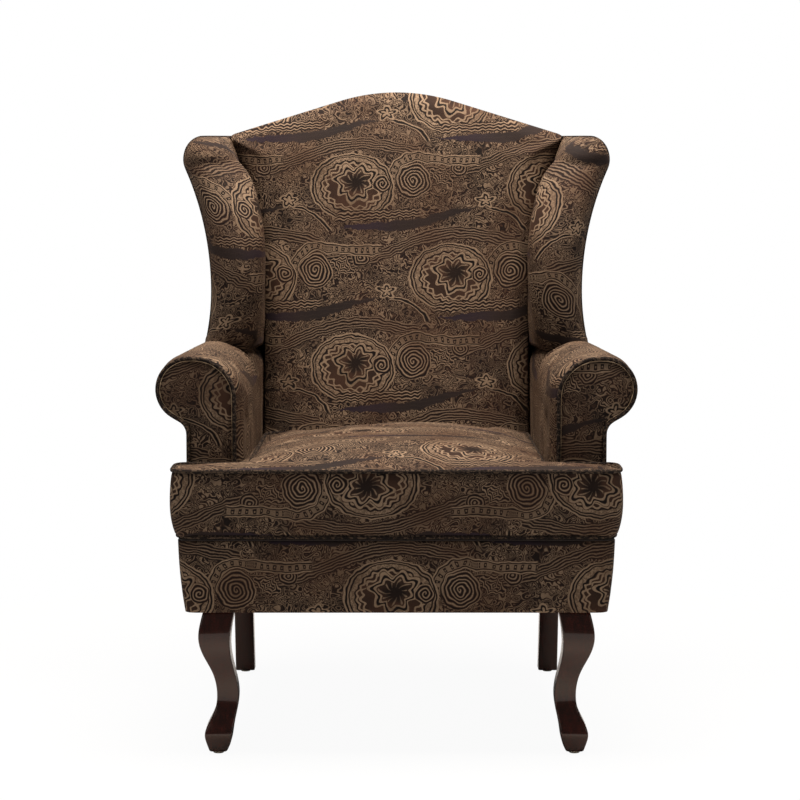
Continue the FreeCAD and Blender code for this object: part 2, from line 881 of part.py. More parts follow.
rail_x = (size("arm_inner_front") + size("side_half_front")) / 2.0 + 8.0
rail_rear_x = (size("arm_inner_rear") + size("side_half_rear")) / 2.0
rail_end = outside_back_y(arm_rail_low) - 2 * cover - 3 * gap - 1.0


def arm_rail_section(y, x):
    half = size("arm_rail_width") / 2.0
    corners = [
        V(x - half, y, arm_rail_low),
        V(x + half, y, arm_rail_low),
        V(x + half, y, arm_rail_top),
        V(x - half, y, arm_rail_top),
    ]
    return Part.makePolygon(corners + [corners[0]])


arm_rail = loft([arm_rail_section(pad_y, rail_x), arm_rail_section(rail_end, rail_rear_x - 4.0)])
post_inner = side_inner(pad_y)
arm_post = Part.makeBox(
    size("rail_thick"), size("arm_post_depth"), arm_rail_low - rail_top, V(post_inner - 6.0, pad_y, rail_top)
)


def grown(shape, amount):
    """The box round a shape, grown by a clearance, for hollowing foam round a frame piece."""
    box = shape.BoundBox
    return Part.makeBox(
        box.XLength + 2 * amount,
        box.YLength + 2 * amount,
        box.ZLength + 2 * amount,
        V(box.XMin - amount, box.YMin - amount, box.ZMin - amount),
    )


rail_room_wires = []
for y, x in ((pad_y - 5.0, rail_x + 0.3), (rail_end + 20.0, rail_rear_x - 4.4)):
    half = size("arm_rail_width") / 2.0 + 0.9
    corners = [
        V(x - half, y, arm_rail_low - gap),
        V(x + half, y, arm_rail_low - gap),
        V(x + half, y, arm_rail_top + gap),
        V(x - half, y, arm_rail_top + gap),
    ]
    rail_room_wires.append(Part.makePolygon(corners + [corners[0]]))
arm_rail_room = loft(rail_room_wires)
arm_pad = arm_body(cover + gap, arm_low, cover + gap + sheet_gap, pad_y)
arm_pad = biggest(arm_pad.cut(arm_rail_room).cut(grown(arm_post, gap)))

# Outside arm sheet, from the neck of the roll down to the bottom of the base
neck_front = neck_level(facing_y) - 2.0
neck_rear = neck_level(arm_rear_y) - 2.0
panel_tuck = size("side_half_front") - rail_half - sheet_gap


def panel_section(y, share, proud, behind, top_gap):
    """The sheet's section at a depth, upright beside the arm and drawn in beside the rail."""
    side = side_half(y)
    low_side = side - panel_tuck * (1.0 - share)
    high = blend(neck_front, neck_rear, share) - top_gap
    corners = [
        V(side + proud, y, high),
        V(side + proud, y, arm_low - 4.0),
        V(low_side + proud, y, size("base_bottom")),
        V(low_side - cover - behind, y, size("base_bottom")),
        V(side - cover - behind, y, arm_low - 4.0),
        V(side - cover - behind, y, high),
    ]
    return Part.makePolygon(corners + [corners[0]])


panel_room = loft(
    [panel_section(facing_y - 1.0, 0.0, 8.0, 0.05, 0.0), panel_section(arm_rear_y, 1.0, 8.0, 0.05, 0.0)]
)
arm_cover = biggest(arm_cover.cut(panel_room))
outside_arm = loft([panel_section(facing_y, 0.0, 0.0, 0.0, gap), panel_section(arm_rear_y, 1.0, 0.0, 0.0, gap)])
outside_arm = biggest(outside_arm.common(in_front_of_back(sheet_gap)).cut(welt_room))

for side, sign in SIDES:
    add_feature("arm_facing_board_" + side, mirrored(facing_board, sign))
    add_feature("arm_facing_cover_" + side, mirrored(facing_cover, sign))
    add_feature("arm_facing_welt_" + side, mirrored(welt_tube, sign))
    add_feature("arm_rail_" + side, mirrored(arm_rail, sign))
    add_feature("arm_post_" + side, mirrored(arm_post, sign))
    add_feature("arm_pad_" + side, mirrored(arm_pad, sign))
    add_feature("arm_cover_" + side, mirrored(arm_cover, sign))
    add_feature("outside_arm_cover_" + side, mirrored(outside_arm, sign))


# Back
def flare_x(z, inset):
    """Half width of the inside back at a height, less an inset."""
    flare = size("back_flare_radius") + inset
    rise = max(z - size("back_flare_start"), 0.0)
    return size("back_half_width") - inset + flare - math.sqrt(flare**2 - rise**2)


crest_slope = math.radians(size("crest_slope"))
crest_centre_z = size("crest_height") - size("crest_arc_radius")


def crest_knee(inset):
    """Where the crest's arc goes over into its sloping line."""
    radius = size("crest_arc_radius") - inset
    return radius * math.sin(crest_slope), crest_centre_z + radius * math.cos(crest_slope)


def crest_corner(inset):
    """Where the crest's sloping line meets the flared side."""
    knee_x, knee_z = crest_knee(inset)
    z = size("crest_height") - 80.0
    for step in range(12):
        z = knee_z - (flare_x(z, inset) - knee_x) * math.tan(crest_slope)
    return flare_x(z, inset), z


def back_outline(inset, low, place):
    """The inside back's outline. The place rule turns an (x, z) of it into a point."""
    start = size("back_flare_start")
    reach = size("crest_corner_reach")
    knee_x, knee_z = crest_knee(inset)
    corner_x, corner_z = crest_corner(inset)
    end_z = corner_z - reach
    end_x = flare_x(end_z, inset)
    middle_z = (start + end_z) / 2.0
    leave_x = corner_x - reach * math.cos(crest_slope)
    leave_z = corner_z + reach * math.sin(crest_slope)
    round_x = blend((end_x + leave_x) / 2.0, corner_x, 0.4)
    round_z = blend((end_z + leave_z) / 2.0, corner_z, 0.4)
    edges = []
    for side, sign in SIDES:
        points = {
            "foot": place(sign * flare_x(low, inset), low),
            "start": place(sign * flare_x(start, inset), start),
            "middle": place(sign * flare_x(middle_z, inset), middle_z),
            "end": place(sign * end_x, end_z),
            "round": place(sign * round_x, round_z),
            "leave": place(sign * leave_x, leave_z),
            "knee": place(sign * knee_x, knee_z),
        }
        edges.append(line(points["foot"], points["start"]))
        edges.append(Part.Arc(points["start"], points["middle"], points["end"]).toShape())
        edges.append(Part.Arc(points["end"], points["round"], points["leave"]).toShape())
        edges.append(line(points["leave"], points["knee"]))
    peak = place(0.0, size("crest_height") - inset)
    edges.append(Part.Arc(place(-knee_x, knee_z), peak, place(knee_x, knee_z)).toShape())
    edges.append(line(place(-flare_x(low, inset), low), place(flare_x(low, inset), low)))
    return Part.Wire(Part.sortEdges(edges)[0])


def back_block(inset, low, front_setback, rear_setback):
    """The back between its slanted planes, crowned and rounded towards the sitter."""
    crown = size("back_crown")
    radius = size("back_edge_round")
    steps = [(radius + 80.0, -crown), (radius + 34.0, -0.55 * crown)]
    for angle in (0.0, 30.0, 60.0, 90.0):
        turn = math.radians(angle)
        steps.append((radius * (1.0 - math.sin(turn)), radius * (1.0 - math.cos(turn))))
    steps.append((0.0, 260.0))
    wires = []
    for more, depth in steps:
        offset = front_setback + depth
        wires.append(
            back_outline(inset + more, low, lambda x, z: V(x, inside_back_y(z) + offset, z))
        )
    solid = loft(wires)
    return biggest(solid.common(in_front_of_back(rear_setback)))


back_low = size("base_top") + gap
back_outer = back_block(0.0, back_low, 0.0, sheet_gap)
back_hollow = back_block(cover, back_low - 5.0, cover, sheet_gap - 5.0)
back_cover = biggest(back_outer.cut(back_hollow))
add_feature("inside_back_cover", back_cover)

frame_face = sheet_gap + size("post_depth") + gap
pad_face = frame_face + 2 * size("spring_wire_radius") + size("clip_wall") + 2 * gap
back_pad = back_block(cover + gap, back_low, cover + gap, pad_face)
add_feature("back_pad", back_pad)

# Back frame, drawn flat and then leaned back to the outside back's rake
lean = math.radians(size("back_rake"))


def leaned(shape):
    """A piece drawn in the XZ plane from the outside back's foot, leaned back with it."""
    moved = shape.copy()
    moved.rotate(V(0, 0, 0), V(1, 0, 0), -size("back_rake"))
    moved.translate(V(0, size("back_foot_y"), size("base_bottom")))
    return moved


def slope_v(z):
    return (z - size("base_bottom")) / math.cos(lean)


frame_front = -(sheet_gap + size("post_depth"))
post_skin = cover + 2 * gap
post_wide = size("post_width")
post_top = crest_corner(0.0)[1] - 30.0
post_levels = [rail_top - 10.0, size("back_flare_start")]
post_levels += [blend(size("back_flare_start"), post_top, step / 7.0) for step in range(1, 8)]
outer_line = [V(flare_x(z, post_skin) - 1.0, 0, slope_v(z)) for z in post_levels]
inner_line = [point - V(post_wide, 0, 0) for point in outer_line]
post_corners = outer_line + inner_line[::-1]
post_face = Part.Face(Part.makePolygon(post_corners + [post_corners[0]]))
post_face.translate(V(0, frame_front, 0))
back_post = leaned(post_face.extrude(V(0, size("post_depth") - gap, 0)))
post_foot_room = Part.makeBox(1000, 1000, rail_top + 0.1, V(-500, -500, 0))
back_post = biggest(back_post.cut(post_foot_room))
for side, sign in SIDES:
    add_feature("back_post_" + side, mirrored(back_post, sign))


def cross_rail(label, points):
    """A rail between the back posts, with its front face flush with theirs."""
    outline = [V(x, 0, slope_v(z)) for x, z in points]
    face = Part.Face(Part.makePolygon(outline + [outline[0]]))
    face.translate(V(0, frame_front, 0))
    return add_feature(label, leaned(face.extrude(V(0, size("back_rail_thick"), 0))))


lower_low = size("lower_rail_level")
lower_high = lower_low + size("lower_rail_height")
lower_half = flare_x(lower_low, post_skin) - 1.0 - post_wide
cross_rail(
    "lower_back_rail",
    [(-lower_half, lower_low), (lower_half, lower_low), (lower_half, lower_high), (-lower_half, lower_high)],
)
crest_low = size("crest_rail_level")
crest_half = flare_x(crest_low, post_skin) - 1.0 - post_wide - 1.0
crest_inset = size("crest_rail_inset")
crest_knee_x, crest_knee_z = crest_knee(crest_inset)
crest_end_z = crest_knee_z - (crest_half - crest_knee_x) * math.tan(crest_slope)
cross_rail(
    "crest_rail",
    [
        (-crest_half, crest_low),
        (crest_half, crest_low),
        (crest_half, crest_end_z),
        (crest_knee_x, crest_knee_z),
        (-crest_knee_x, crest_knee_z),
        (-crest_half, crest_end_z),
    ],
)

# Back springs, on the front faces of the two back rails
back_spring_low = slope_v(lower_low + size("lower_rail_height") / 2)
back_spring_high = slope_v(crest_low + 25.0)
back_spring_face = frame_front - gap - size("spring_wire_radius")
back_springs = []
back_clips = []
for number in (-1.5, -0.5, 0.5, 1.5):
    x = number * size("back_spring_spacing")
    coil = zigzag(back_spring_high - back_spring_low, 1)
    coil.rotate(V(0, 0, 0), V(1, 0, 0), 90)
    coil.translate(V(x, back_spring_face, back_spring_low))
    back_springs.append(leaned(coil))
    for level in (back_spring_low, back_spring_high):
        wide = size("clip_width")
        tall = size("clip_depth")
        block = Part.makeBox(
            wide,
            2 * size("spring_wire_radius") + gap + size("clip_wall") - 0.1,
            tall,
            V(
                x - wide / 2,
                frame_front - 2 * size("spring_wire_radius") - gap - size("clip_wall"),
                level - tall / 2,
            ),
        )
        groove = Part.makeBox(
            wide + 2,
            2 * size("spring_wire_radius") + gap + 0.2,
            2 * size("spring_wire_radius") + 0.4,
            V(
                x - wide / 2 - 1,
                frame_front - 2 * size("spring_wire_radius") - gap - 0.2,
                level - size("spring_wire_radius") - 0.2,
            ),
        )
        back_clips.append(leaned(block.cut(groove)))
add_feature("back_springs", Part.makeCompound(back_springs))
add_feature("back_spring_clips", Part.makeCompound(back_clips))


# Wings
def bow(level, middle, base, radius_low, radius_high):
    """A value that grows away from its least, at a level, along two arcs."""
    rise = level - middle
    radius = radius_high if rise > 0 else radius_low
    return base + radius - math.sqrt(radius**2 - rise**2)


dome_start = size("wing_dome_start")


def wing_values(z, inset):
    """Inner and outer X at the front, front Y, inner and outer X at the back, at a height."""
    top = size("wing_top") - inset
    level = min(z, dome_start)
    inner = bow(
        level,
        size("wing_inner_level"),
        size("wing_inner_x"),
        size("wing_inner_radius_low"),
        size("wing_inner_radius_high"),
    )
    outer = bow(
        level,
        size("wing_outer_level"),
        size("wing_outer_x"),
        size("wing_outer_radius_low"),
        size("wing_outer_radius_high"),
    )
    front = bow(
        level,
        size("wing_front_level"),
        size("wing_front_y"),
        size("wing_front_radius_low"),
        size("wing_front_radius_high"),
    )
    rear_inner = flare_x(min(z, size("wing_top")), 0.0) + 1.0
    share = (level - size("wing_root")) / (size("wing_top") - size("wing_root"))
    rear_outer = rear_inner + blend(size("wing_rear_thick_low"), size("wing_rear_thick_high"), share)
    values = [inner + inset, outer - inset, front + inset, rear_inner + inset, rear_outer - inset]
    if z > dome_start:
        share = min((z - dome_start) / (top - dome_start), 0.995)
        keep = math.sqrt(1.0 - share**2)
        middle = (values[0] + values[1]) / 2.0
        values[0] = blend(middle, values[0], keep)
        values[1] = blend(middle, values[1], keep)
        values[2] += (1.0 - keep) * 60.0
        values[4] = blend(values[3], values[4], keep)
    return values


WING_REAR_Y = size("back_foot_y") + 152.8


def wing_section(z, inset):
    """The wing's section in plan: round at the front, running back past the outside back."""
    inner, outer, front, rear_inner_x, rear_outer_x = wing_values(z, inset)
    knee_y = inside_back_y(min(z, dome_start)) - 3.0
    radius = (outer - inner) / 2.0 - 1.0
    nose_y = front + radius
    left = V(inner, nose_y, z)
    right = V(outer, nose_y, z)
    turn = math.sqrt(0.5)
    left_mid = V(inner + radius * (1 - turn), nose_y - radius * turn, z)
    right_mid = V(outer - radius * (1 - turn), nose_y - radius * turn, z)
    left_top = V(inner + radius, front, z)
    right_top = V(outer - radius, front, z)
    return Part.Wire(
        [
            line(V(rear_inner_x, WING_REAR_Y, z), V(rear_inner_x, knee_y, z)),
            line(V(rear_inner_x, knee_y, z), left),
            Part.Arc(left, left_mid, left_top).toShape(),
            line(left_top, right_top),
            Part.Arc(right_top, right_mid, right).toShape(),
            line(right, V(rear_outer_x, WING_REAR_Y, z)),
            line(V(rear_outer_x, WING_REAR_Y, z), V(rear_inner_x, WING_REAR_Y, z)),
        ]
    )


def wing_body(inset, rear_setback, clearance):
    """The right wing's solid, saddled on the arm."""
    top = size("wing_top") - inset
    dome = top - dome_start
    levels = [size("wing_root") + step * (dome_start - size("wing_root")) / 9.0 for step in range(10)]
    levels += [dome_start + dome * share for share in (0.3, 0.55, 0.75, 0.88, 0.96, 0.995)]
    solid = loft([wing_section(z, inset) for z in levels])
    trimmed = solid.common(in_front_of_back(rear_setback))
    return biggest(trimmed.cut(clearance))


saddle = arm_envelope
wing_outer = wing_body(0.0, sheet_gap, saddle)
saddle_low = loft([arm_section(y, -gap - cover, arm_low) for y in front_stations + [arm_rear_y]])
wing_hollow = wing_body(cover, sheet_gap + cover, saddle_low)
wing_cover = biggest(wing_outer.cut(wing_hollow))
saddle_pad = loft([arm_section(y, -2 * gap - cover, arm_low) for y in front_stations + [arm_rear_y]])
wing_core = wing_body(cover + gap, sheet_gap + cover + gap, saddle_pad)


def wing_board_section(z, grow):
    inner, outer, front, rear_inner_x, rear_outer_x = wing_values(min(z, dome_start), 0.0)
    middle = (inner + outer) / 2.0
    rear_middle = (rear_inner_x + rear_outer_x) / 2.0
    half = size("wing_board_thick") / 2.0 + grow
    start = front + size("wing_board_inset") - grow
    end = outside_back_y(z) - sheet_gap - cover - 12.0 + grow
    share = (end - start) / (WING_REAR_Y - start)
    end_middle = blend(middle, rear_middle, share)
    corners = [
        V(middle - half, start, z),
        V(middle + half, start, z),
        V(end_middle + half, end, z),
        V(end_middle - half, end, z),
    ]
    return Part.makePolygon(corners + [corners[0]])


board_low = size("arm_rear_height") + 18.0
board_high = dome_start
board_steps = [blend(board_low, board_high, share) for share in (0.0, 0.25, 0.5, 0.75, 1.0)]
wing_board = loft([wing_board_section(z, 0.0) for z in board_steps])
board_room_steps = [board_low - gap] + board_steps[1:-1] + [board_high + gap]
wing_board_room = loft([wing_board_section(z, gap) for z in board_room_steps])
wing_pad = biggest(wing_core.cut(wing_board_room))


def wing_welt():
    """Piping up the wing's outer edge and back along its top."""
    points = []
    low = size("arm_rear_height") + 12.0
    levels = [blend(low, dome_start, step / 7.0) for step in range(8)]
    levels += [blend(dome_start, size("wing_top"), share) for share in (0.35, 0.65, 0.86, 0.97)]
    for z in levels:
        inner, outer, front, rear_inner_x, rear_outer_x = wing_values(z, 0.0)
        radius = (outer - inner) / 2.0 - 1.0
        points.append(V(outer - 0.5, front + radius, z))
    last = points[-1]
    for share in (0.25, 0.5, 0.75):
        y = blend(last.y, outside_back_y(size("wing_top")) - 8.0, share)
        points.append(V(blend(last.x, rear_outer_x - 14.0, share), y, size("wing_top") - 0.5))
    rings = []
    for index, point in enumerate(points):
        before = points[max(index - 1, 0)]
        after = points[min(index + 1, len(points) - 1)]
        rings.append(Part.Wire([Part.Circle(point, after - before, size("welt_radius")).toShape()]))
    return loft(rings)


welt = wing_welt()
welt = biggest(welt.cut(wing_outer))
for side, sign in SIDES:
    add_feature("wing_board_" + side, mirrored(wing_board, sign))
    add_feature("wing_pad_" + side, mirrored(wing_pad, sign))
    add_feature("wing_cover_" + side, mirrored(wing_cover, sign))
    add_feature("wing_welt_" + side, mirrored(welt, sign))


# Outside back: one sheet over the whole back, from the base to the crest
def outside_back_outline(low):
    """The sheet's outline: sides, wing shoulders and the crest."""
    half_low = size("side_half_rear") - 2.0
    points = [V(half_low, 0, low), V(half_low, 0, neck_rear)]
    for step in range(6):
        z = blend(size("arm_rear_height") + 14.0, dome_start, step / 5.0)
        share = (outside_back_y(z) - wing_values(z, 0.0)[2]) / (WING_REAR_Y - wing_values(z, 0.0)[2])
        inner, outer, front, rear_inner_x, rear_outer_x = wing_values(z, 0.0)
        points.append(V(blend(outer, rear_outer_x, share) - 1.5, 0, z))
    corner_x, corner_z = crest_corner(1.5)
    points.append(V(corner_x - 2.0, 0, corner_z - 2.0))
    knee_x, knee_z = crest_knee(1.5)
    edges = [line(a, b) for a, b in zip(points[:-1], points[1:])]
    knee = V(knee_x, 0, knee_z)
    edges.append(line(points[-1], knee))
    top = Part.Arc(knee, V(0, 0, size("crest_height") - 1.5), V(-knee_x, 0, knee_z)).toShape()
    left = [edge.mirror(V(0, 0, 0), V(1, 0, 0)) for edge in edges]
    bottom = line(V(-half_low, 0, low), V(half_low, 0, low))
    return Part.Wire(Part.sortEdges(edges + [top] + left + [bottom])[0])


outside_prism = Part.Face(outside_back_outline(size("base_bottom"))).extrude(V(0, 600, 0))
outside_sheet = outside_prism.common(
    slab(lambda z: outside_back_y(z) - cover, outside_back_y, 0.0, 2 * SLAB_HALF)
)
add_feature("outside_back_cover", biggest(outside_sheet))


# Loose T cushion
cushion_low = size("base_top") + size("cushion_gap")
cushion_high = cushion_low + size("cushion_thick")
cushion_half_front = size("arm_inner_front") - size("cushion_side_gap")
cushion_half_rear = size("arm_inner_rear") - size("cushion_side_gap")
ear_half = size("cushion_ear_half")
ear_rear = facing_cover_y - size("cushion_ear_gap")
draw_in = size("cushion_draw_in")
cushion_front = front_y + size("cushion_setback")


def cushion_plan(inset, z):
    """The cushion's T outline at a level. Its back edge leans with the inside back."""
    rear = inside_back_y(z) - size("cushion_back_gap") - inset
    outer_round = max(size("cushion_corner_radius") - inset, 4.0)
    inner_round = size("cushion_inner_radius") + inset
    ear_round = max(14.0 - inset, 3.0)
    corners = [
        (-(ear_half - inset), cushion_front + inset, outer_round),
        (ear_half - inset, cushion_front + inset, outer_round),
        (ear_half - inset, ear_rear - inset, ear_round),
        (cushion_half_front - inset, ear_rear - inset, inner_round),
        (cushion_half_rear - inset, rear, outer_round),
        (-(cushion_half_rear - inset), rear, outer_round),
        (-(cushion_half_front - inset), ear_rear - inset, inner_round),
        (-(ear_half - inset), ear_rear - inset, ear_round),
    ]
    return rounded_wire(corners, z)


DOME_ROOT = 2.0


def crown_dome(stations, half, z):
    """A dome of arcs across the cushion, lofted from front to back, rooted below the seam."""
    wires = []
    for y, rise in stations:
        start = V(-half, y, z)
        end = V(half, y, z)
        low_end = V(half, y, z - DOME_ROOT)
        low_start = V(-half, y, z - DOME_ROOT)
        arc = Part.Arc(start, V(0, y, z + rise), end).toShape()
        wires.append(Part.Wire([arc, line(end, low_end), line(low_end, low_start), line(low_start, start)]))
    return loft(wires)


def cushion_body(inset):
    """Boxing with drawn-in seams, and a crown on top."""
    low = cushion_low + inset
    high = cushion_high - inset
    middle = (low + high) / 2.0
    boxing = loft(
        [
            cushion_plan(draw_in + inset, low),
            cushion_plan(0.25 * draw_in + inset, blend(low, middle, 0.5)),
            cushion_plan(inset, middle),
            cushion_plan(0.25 * draw_in + inset, blend(high, middle, 0.5)),
            cushion_plan(draw_in + inset, high),
        ]
    )
    seam = draw_in + inset
    rear = inside_back_y(high) - size("cushion_back_gap") - seam
    start = cushion_front + seam
    crown = size("cushion_crown")
    ear_crown = size("cushion_ear_crown")
    main = crown_dome(
        [
            (start, 4.0),
            (blend(start, ear_rear, 0.5), 0.5 * crown),
            (ear_rear, 0.75 * crown),
            (blend(ear_rear, rear, 0.45), crown),
            (blend(ear_rear, rear, 0.8), 0.85 * crown),
            (rear, 0.5 * crown),
        ],
        cushion_half_rear - seam,
        high,
    )
    ears = crown_dome(
        [(start, 3.5), (blend(start, ear_rear, 0.5), 0.7 * ear_crown), (ear_rear, ear_crown)],
        ear_half - seam,
        high,
    )
    prism = Part.Face(cushion_plan(seam + 0.2, high - 0.75 * DOME_ROOT)).extrude(V(0, 0, 3 * crown))
    return boxing.fuse(main.common(prism)).fuse(ears.common(prism)).removeSplitter()


cushion_outer = biggest(cushion_body(0.0))
cushion_hollow = biggest(cushion_body(cover))
cushion_core = biggest(cushion_body(cover + gap))
cushion_welt_radius = size("welt_radius")


def cushion_welt(z, seam_inset):
    """Piping all round the cushion, laid against a seam."""
    path = cushion_plan(seam_inset - cushion_welt_radius - gap, z)
    edge = path.Edges[1]
    start = edge.Vertexes[0].Point
    loop = Part.Wire(path.Edges[1:] + path.Edges[:1])
    return tube(loop, start, edge.tangentAt(edge.FirstParameter), cushion_welt_radius)


add_feature("cushion_foam", cushion_core)
add_feature("cushion_cover", biggest(cushion_outer.cut(cushion_hollow)))
add_feature("cushion_top_welt", cushion_welt(cushion_high, draw_in))
add_feature("cushion_bottom_welt", cushion_welt(cushion_low + cushion_welt_radius, draw_in - 0.7))

# Zipper across the cushion's back boxing, with its slider at one end
zip_level = (cushion_low + cushion_high) / 2.0
zip_face = inside_back_y(zip_level) - size("cushion_back_gap")
zip_lean = size("inside_back_rake")


def on_boxing(shape):
    """A zipper piece drawn upright at the boxing's face, leaned with it."""
    moved = shape.copy()
    moved.rotate(V(0, zip_face, zip_level), V(1, 0, 0), -zip_lean)
    moved.translate(V(0, 0.6, 0))
    return moved


half_zip = size("zipper_length") / 2.0
tape = Part.makeBox(
    size("zipper_length"),
    size("zipper_tape_thick"),
    size("zipper_tape_width"),
    V(-half_zip, zip_face, zip_level - size("zipper_tape_width") / 2),
)
coil_y = zip_face + size("zipper_tape_thick")
coil = Part.makeBox(
    size("zipper_length"),
    size("zipper_coil_thick"),
    size("zipper_coil_width"),
    V(-half_zip, coil_y, zip_level - size("zipper_coil_width") / 2),
)
add_feature("zipper_tape", on_boxing(tape.fuse(coil).removeSplitter()))

slide_gap = size("slider_clearance")
slider_y = coil_y + slide_gap
slider_x = -half_zip + 4.0
slider_height = size("zipper_coil_width") + 2 * slide_gap + 3.0
slider_block = Part.makeBox(
    size("slider_length"),
    size("slider_thick"),
    slider_height,
    V(slider_x, slider_y, zip_level - slider_height / 2),
)
slider_groove = Part.makeBox(
    size("slider_length") + 2.0,
    size("zipper_coil_thick"),
    size("zipper_coil_width") + 2 * slide_gap,
    V(slider_x - 1.0, slider_y, zip_level - size("zipper_coil_width") / 2 - slide_gap),
)
add_feature("zipper_slider", on_boxing(slider_block.cut(slider_groove)))
pull = Part.makeBox(
    5.0,
    size("pull_thick"),
    size("pull_length"),
    V(
        slider_x + size("slider_length") / 2 - 2.5,
        slider_y + size("slider_thick"),
        zip_level - size("pull_length") + slider_height / 2,
    ),
)
add_feature("zipper_pull", on_boxing(pull))

# Check every object, then write each sub-part
doc.recompute()
os.makedirs("parts", exist_ok=True)
names = []
for item in doc.Objects:
    if "Invalid" in item.State or "Error" in item.State:
        raise RuntimeError("object %s failed: %s" % (item.Label, item.State))
    is_body = item.TypeId == "PartDesign::Body"
    if is_body or item.TypeId in ("Part::Feature", "Part::Box"):
        if item.Shape.isNull() or not item.Shape.isValid():
            raise RuntimeError("sub-part %s has no valid shape" % item.Label)
        item.Shape.exportStep("parts/%s.step" % item.Label)
        names.append(item.Label)
print(len(names), "sub-parts written")
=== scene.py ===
import bpy
import bmesh
import json
import math
import numpy as np
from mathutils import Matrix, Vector
from mathutils.geometry import delaunay_2d_cdt


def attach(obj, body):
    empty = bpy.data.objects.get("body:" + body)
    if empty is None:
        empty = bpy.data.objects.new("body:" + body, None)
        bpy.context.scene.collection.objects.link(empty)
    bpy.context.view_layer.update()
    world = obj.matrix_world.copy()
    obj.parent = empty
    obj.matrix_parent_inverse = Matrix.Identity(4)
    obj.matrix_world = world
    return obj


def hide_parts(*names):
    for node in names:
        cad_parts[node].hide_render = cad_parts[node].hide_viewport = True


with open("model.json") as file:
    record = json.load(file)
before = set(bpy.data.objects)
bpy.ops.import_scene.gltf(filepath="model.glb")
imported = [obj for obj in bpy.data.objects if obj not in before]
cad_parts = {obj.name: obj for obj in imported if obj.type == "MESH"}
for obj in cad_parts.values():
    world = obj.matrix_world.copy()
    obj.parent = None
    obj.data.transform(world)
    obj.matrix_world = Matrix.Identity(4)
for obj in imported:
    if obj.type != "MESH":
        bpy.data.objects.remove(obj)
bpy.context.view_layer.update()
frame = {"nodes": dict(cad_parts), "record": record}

# Looks of a wingback armchair. Metres. X to the right, Y to the back, Z up, as in the CAD frame.
nodes = frame["nodes"]
sides = (("left", -1.0), ("right", 1.0))
fullTurn = 6.2832  # radians


def blend(low, high, share):
    return low + (high - low) * share


# 0 up to low, 1 from high on, smooth between
def ease(low, high, value):
    share = np.clip((np.asarray(value, float) - low) / (high - low), 0.0, 1.0)
    return share * share * (3.0 - 2.0 * share)


def intoScene(thing):
    bpy.context.scene.collection.objects.link(thing)
    return thing


# Node arithmetic: a Signal wraps one socket, so that formulas read as formulas
class Signal:
    def __init__(self, tree, socket):
        self.tree = tree
        self.socket = socket

    def op(self, kind, *others):
        node = self.tree.nodes.new("ShaderNodeMath")
        node.operation = kind
        for place, value in enumerate((self,) + others):
            if isinstance(value, Signal):
                self.tree.links.new(value.socket, node.inputs[place])
            else:
                node.inputs[place].default_value = value
        return Signal(self.tree, node.outputs[0])

    def __add__(self, other):
        return self.op("ADD", other)

    def __sub__(self, other):
        return self.op("SUBTRACT", other)

    def __mul__(self, other):
        return self.op("MULTIPLY", other)

    def __truediv__(self, other):
        return self.op("DIVIDE", other)

    def __neg__(self):
        return self.op("MULTIPLY", -1.0)

    def least(self, other):
        return self.op("MINIMUM", other)

    def most(self, other):
        return self.op("MAXIMUM", other)

    def sine(self):
        return self.op("SINE")

    def size(self):
        return self.op("ABSOLUTE")

    def step(self, low, high):
        # 0 at low, 1 at high, smooth between
        node = self.tree.nodes.new("ShaderNodeMapRange")
        node.interpolation_type = "SMOOTHSTEP"
        node.inputs["From Min"].default_value = low
        node.inputs["From Max"].default_value = high
        self.tree.links.new(self.socket, node.inputs["Value"])
        return Signal(self.tree, node.outputs["Result"])

    def stroke(self, centre, half, soft):
        # 1 on a line where the signal is near centre, 0 away from it
        return (self - centre).size().step(half + soft, half)


def splitVector(tree, socket):
    node = tree.nodes.new("ShaderNodeSeparateXYZ")
    tree.links.new(socket, node.inputs[0])
    return Signal(tree, node.outputs[0]), Signal(tree, node.outputs[1])


def noiseSignal(tree, place, scale, detail=2.0, distortion=0.0, lift=0.0):
    node = tree.nodes.new("ShaderNodeTexNoise")
    node.inputs["Scale"].default_value = scale
    node.inputs["Detail"].default_value = detail
    node.inputs["Distortion"].default_value = distortion
    source = place
    if lift:
        shift = tree.nodes.new("ShaderNodeVectorMath")
        shift.operation = "ADD"
        shift.inputs[1].default_value = (lift, lift * 0.7, 0.0)
        tree.links.new(place, shift.inputs[0])
        source = shift.outputs[0]
    tree.links.new(source, node.inputs["Vector"])
    return Signal(tree, node.outputs["Fac"])


def mixColours(tree, share, low, high):
    node = tree.nodes.new("ShaderNodeMix")
    node.data_type = "RGBA"
    tree.links.new(share.socket, node.inputs["Factor"])
    for place, value in ((6, low), (7, high)):
        if isinstance(value, tuple):
            node.inputs[place].default_value = (*value, 1.0)
        else:
            tree.links.new(value, node.inputs[place])
    return node.outputs[2]


# Paisley cloth. Places on the cloth are in metres. Motifs repeat in rows, and each row is
# shifted by half a repeat.
cloth = {
    "repeatWide": 0.350,
    "rowTall": 0.158,
    "ground": (0.0160, 0.0086, 0.0056),
    "groundWarm": (0.0330, 0.0152, 0.0088),
    "thread": (0.178, 0.119, 0.076),
    "threadDim": (0.092, 0.057, 0.034),
    "ink": (0.0034, 0.0022, 0.0018),
    "streak": (0.0125, 0.0088, 0.0080),
    "streakViolet": (0.0140, 0.0092, 0.0145),
}
motifs = {  # centre across and up the cloth, then how far it leans in degrees
    "river": (-0.060, 0.055),
    "leaf": (0.158, 0.020, -28.0),
    "ring": (0.190, 0.034),
    "snail": (0.108, 0.012),
    "arch": (0.112, 0.013),
    "stem": (-0.062, -0.040),
    "bud": (0.236, -0.024),
    "drop": (0.0, 0.0, 8.0),
    "hem": (0.020, -0.050),
    "heart": (0.006, 0.008, 20.0),
    "curl": (0.052, 0.006),
    "streak": (0.100, -0.067),
}
coilSpacing = 0.0058
curlSpacing = 0.0056


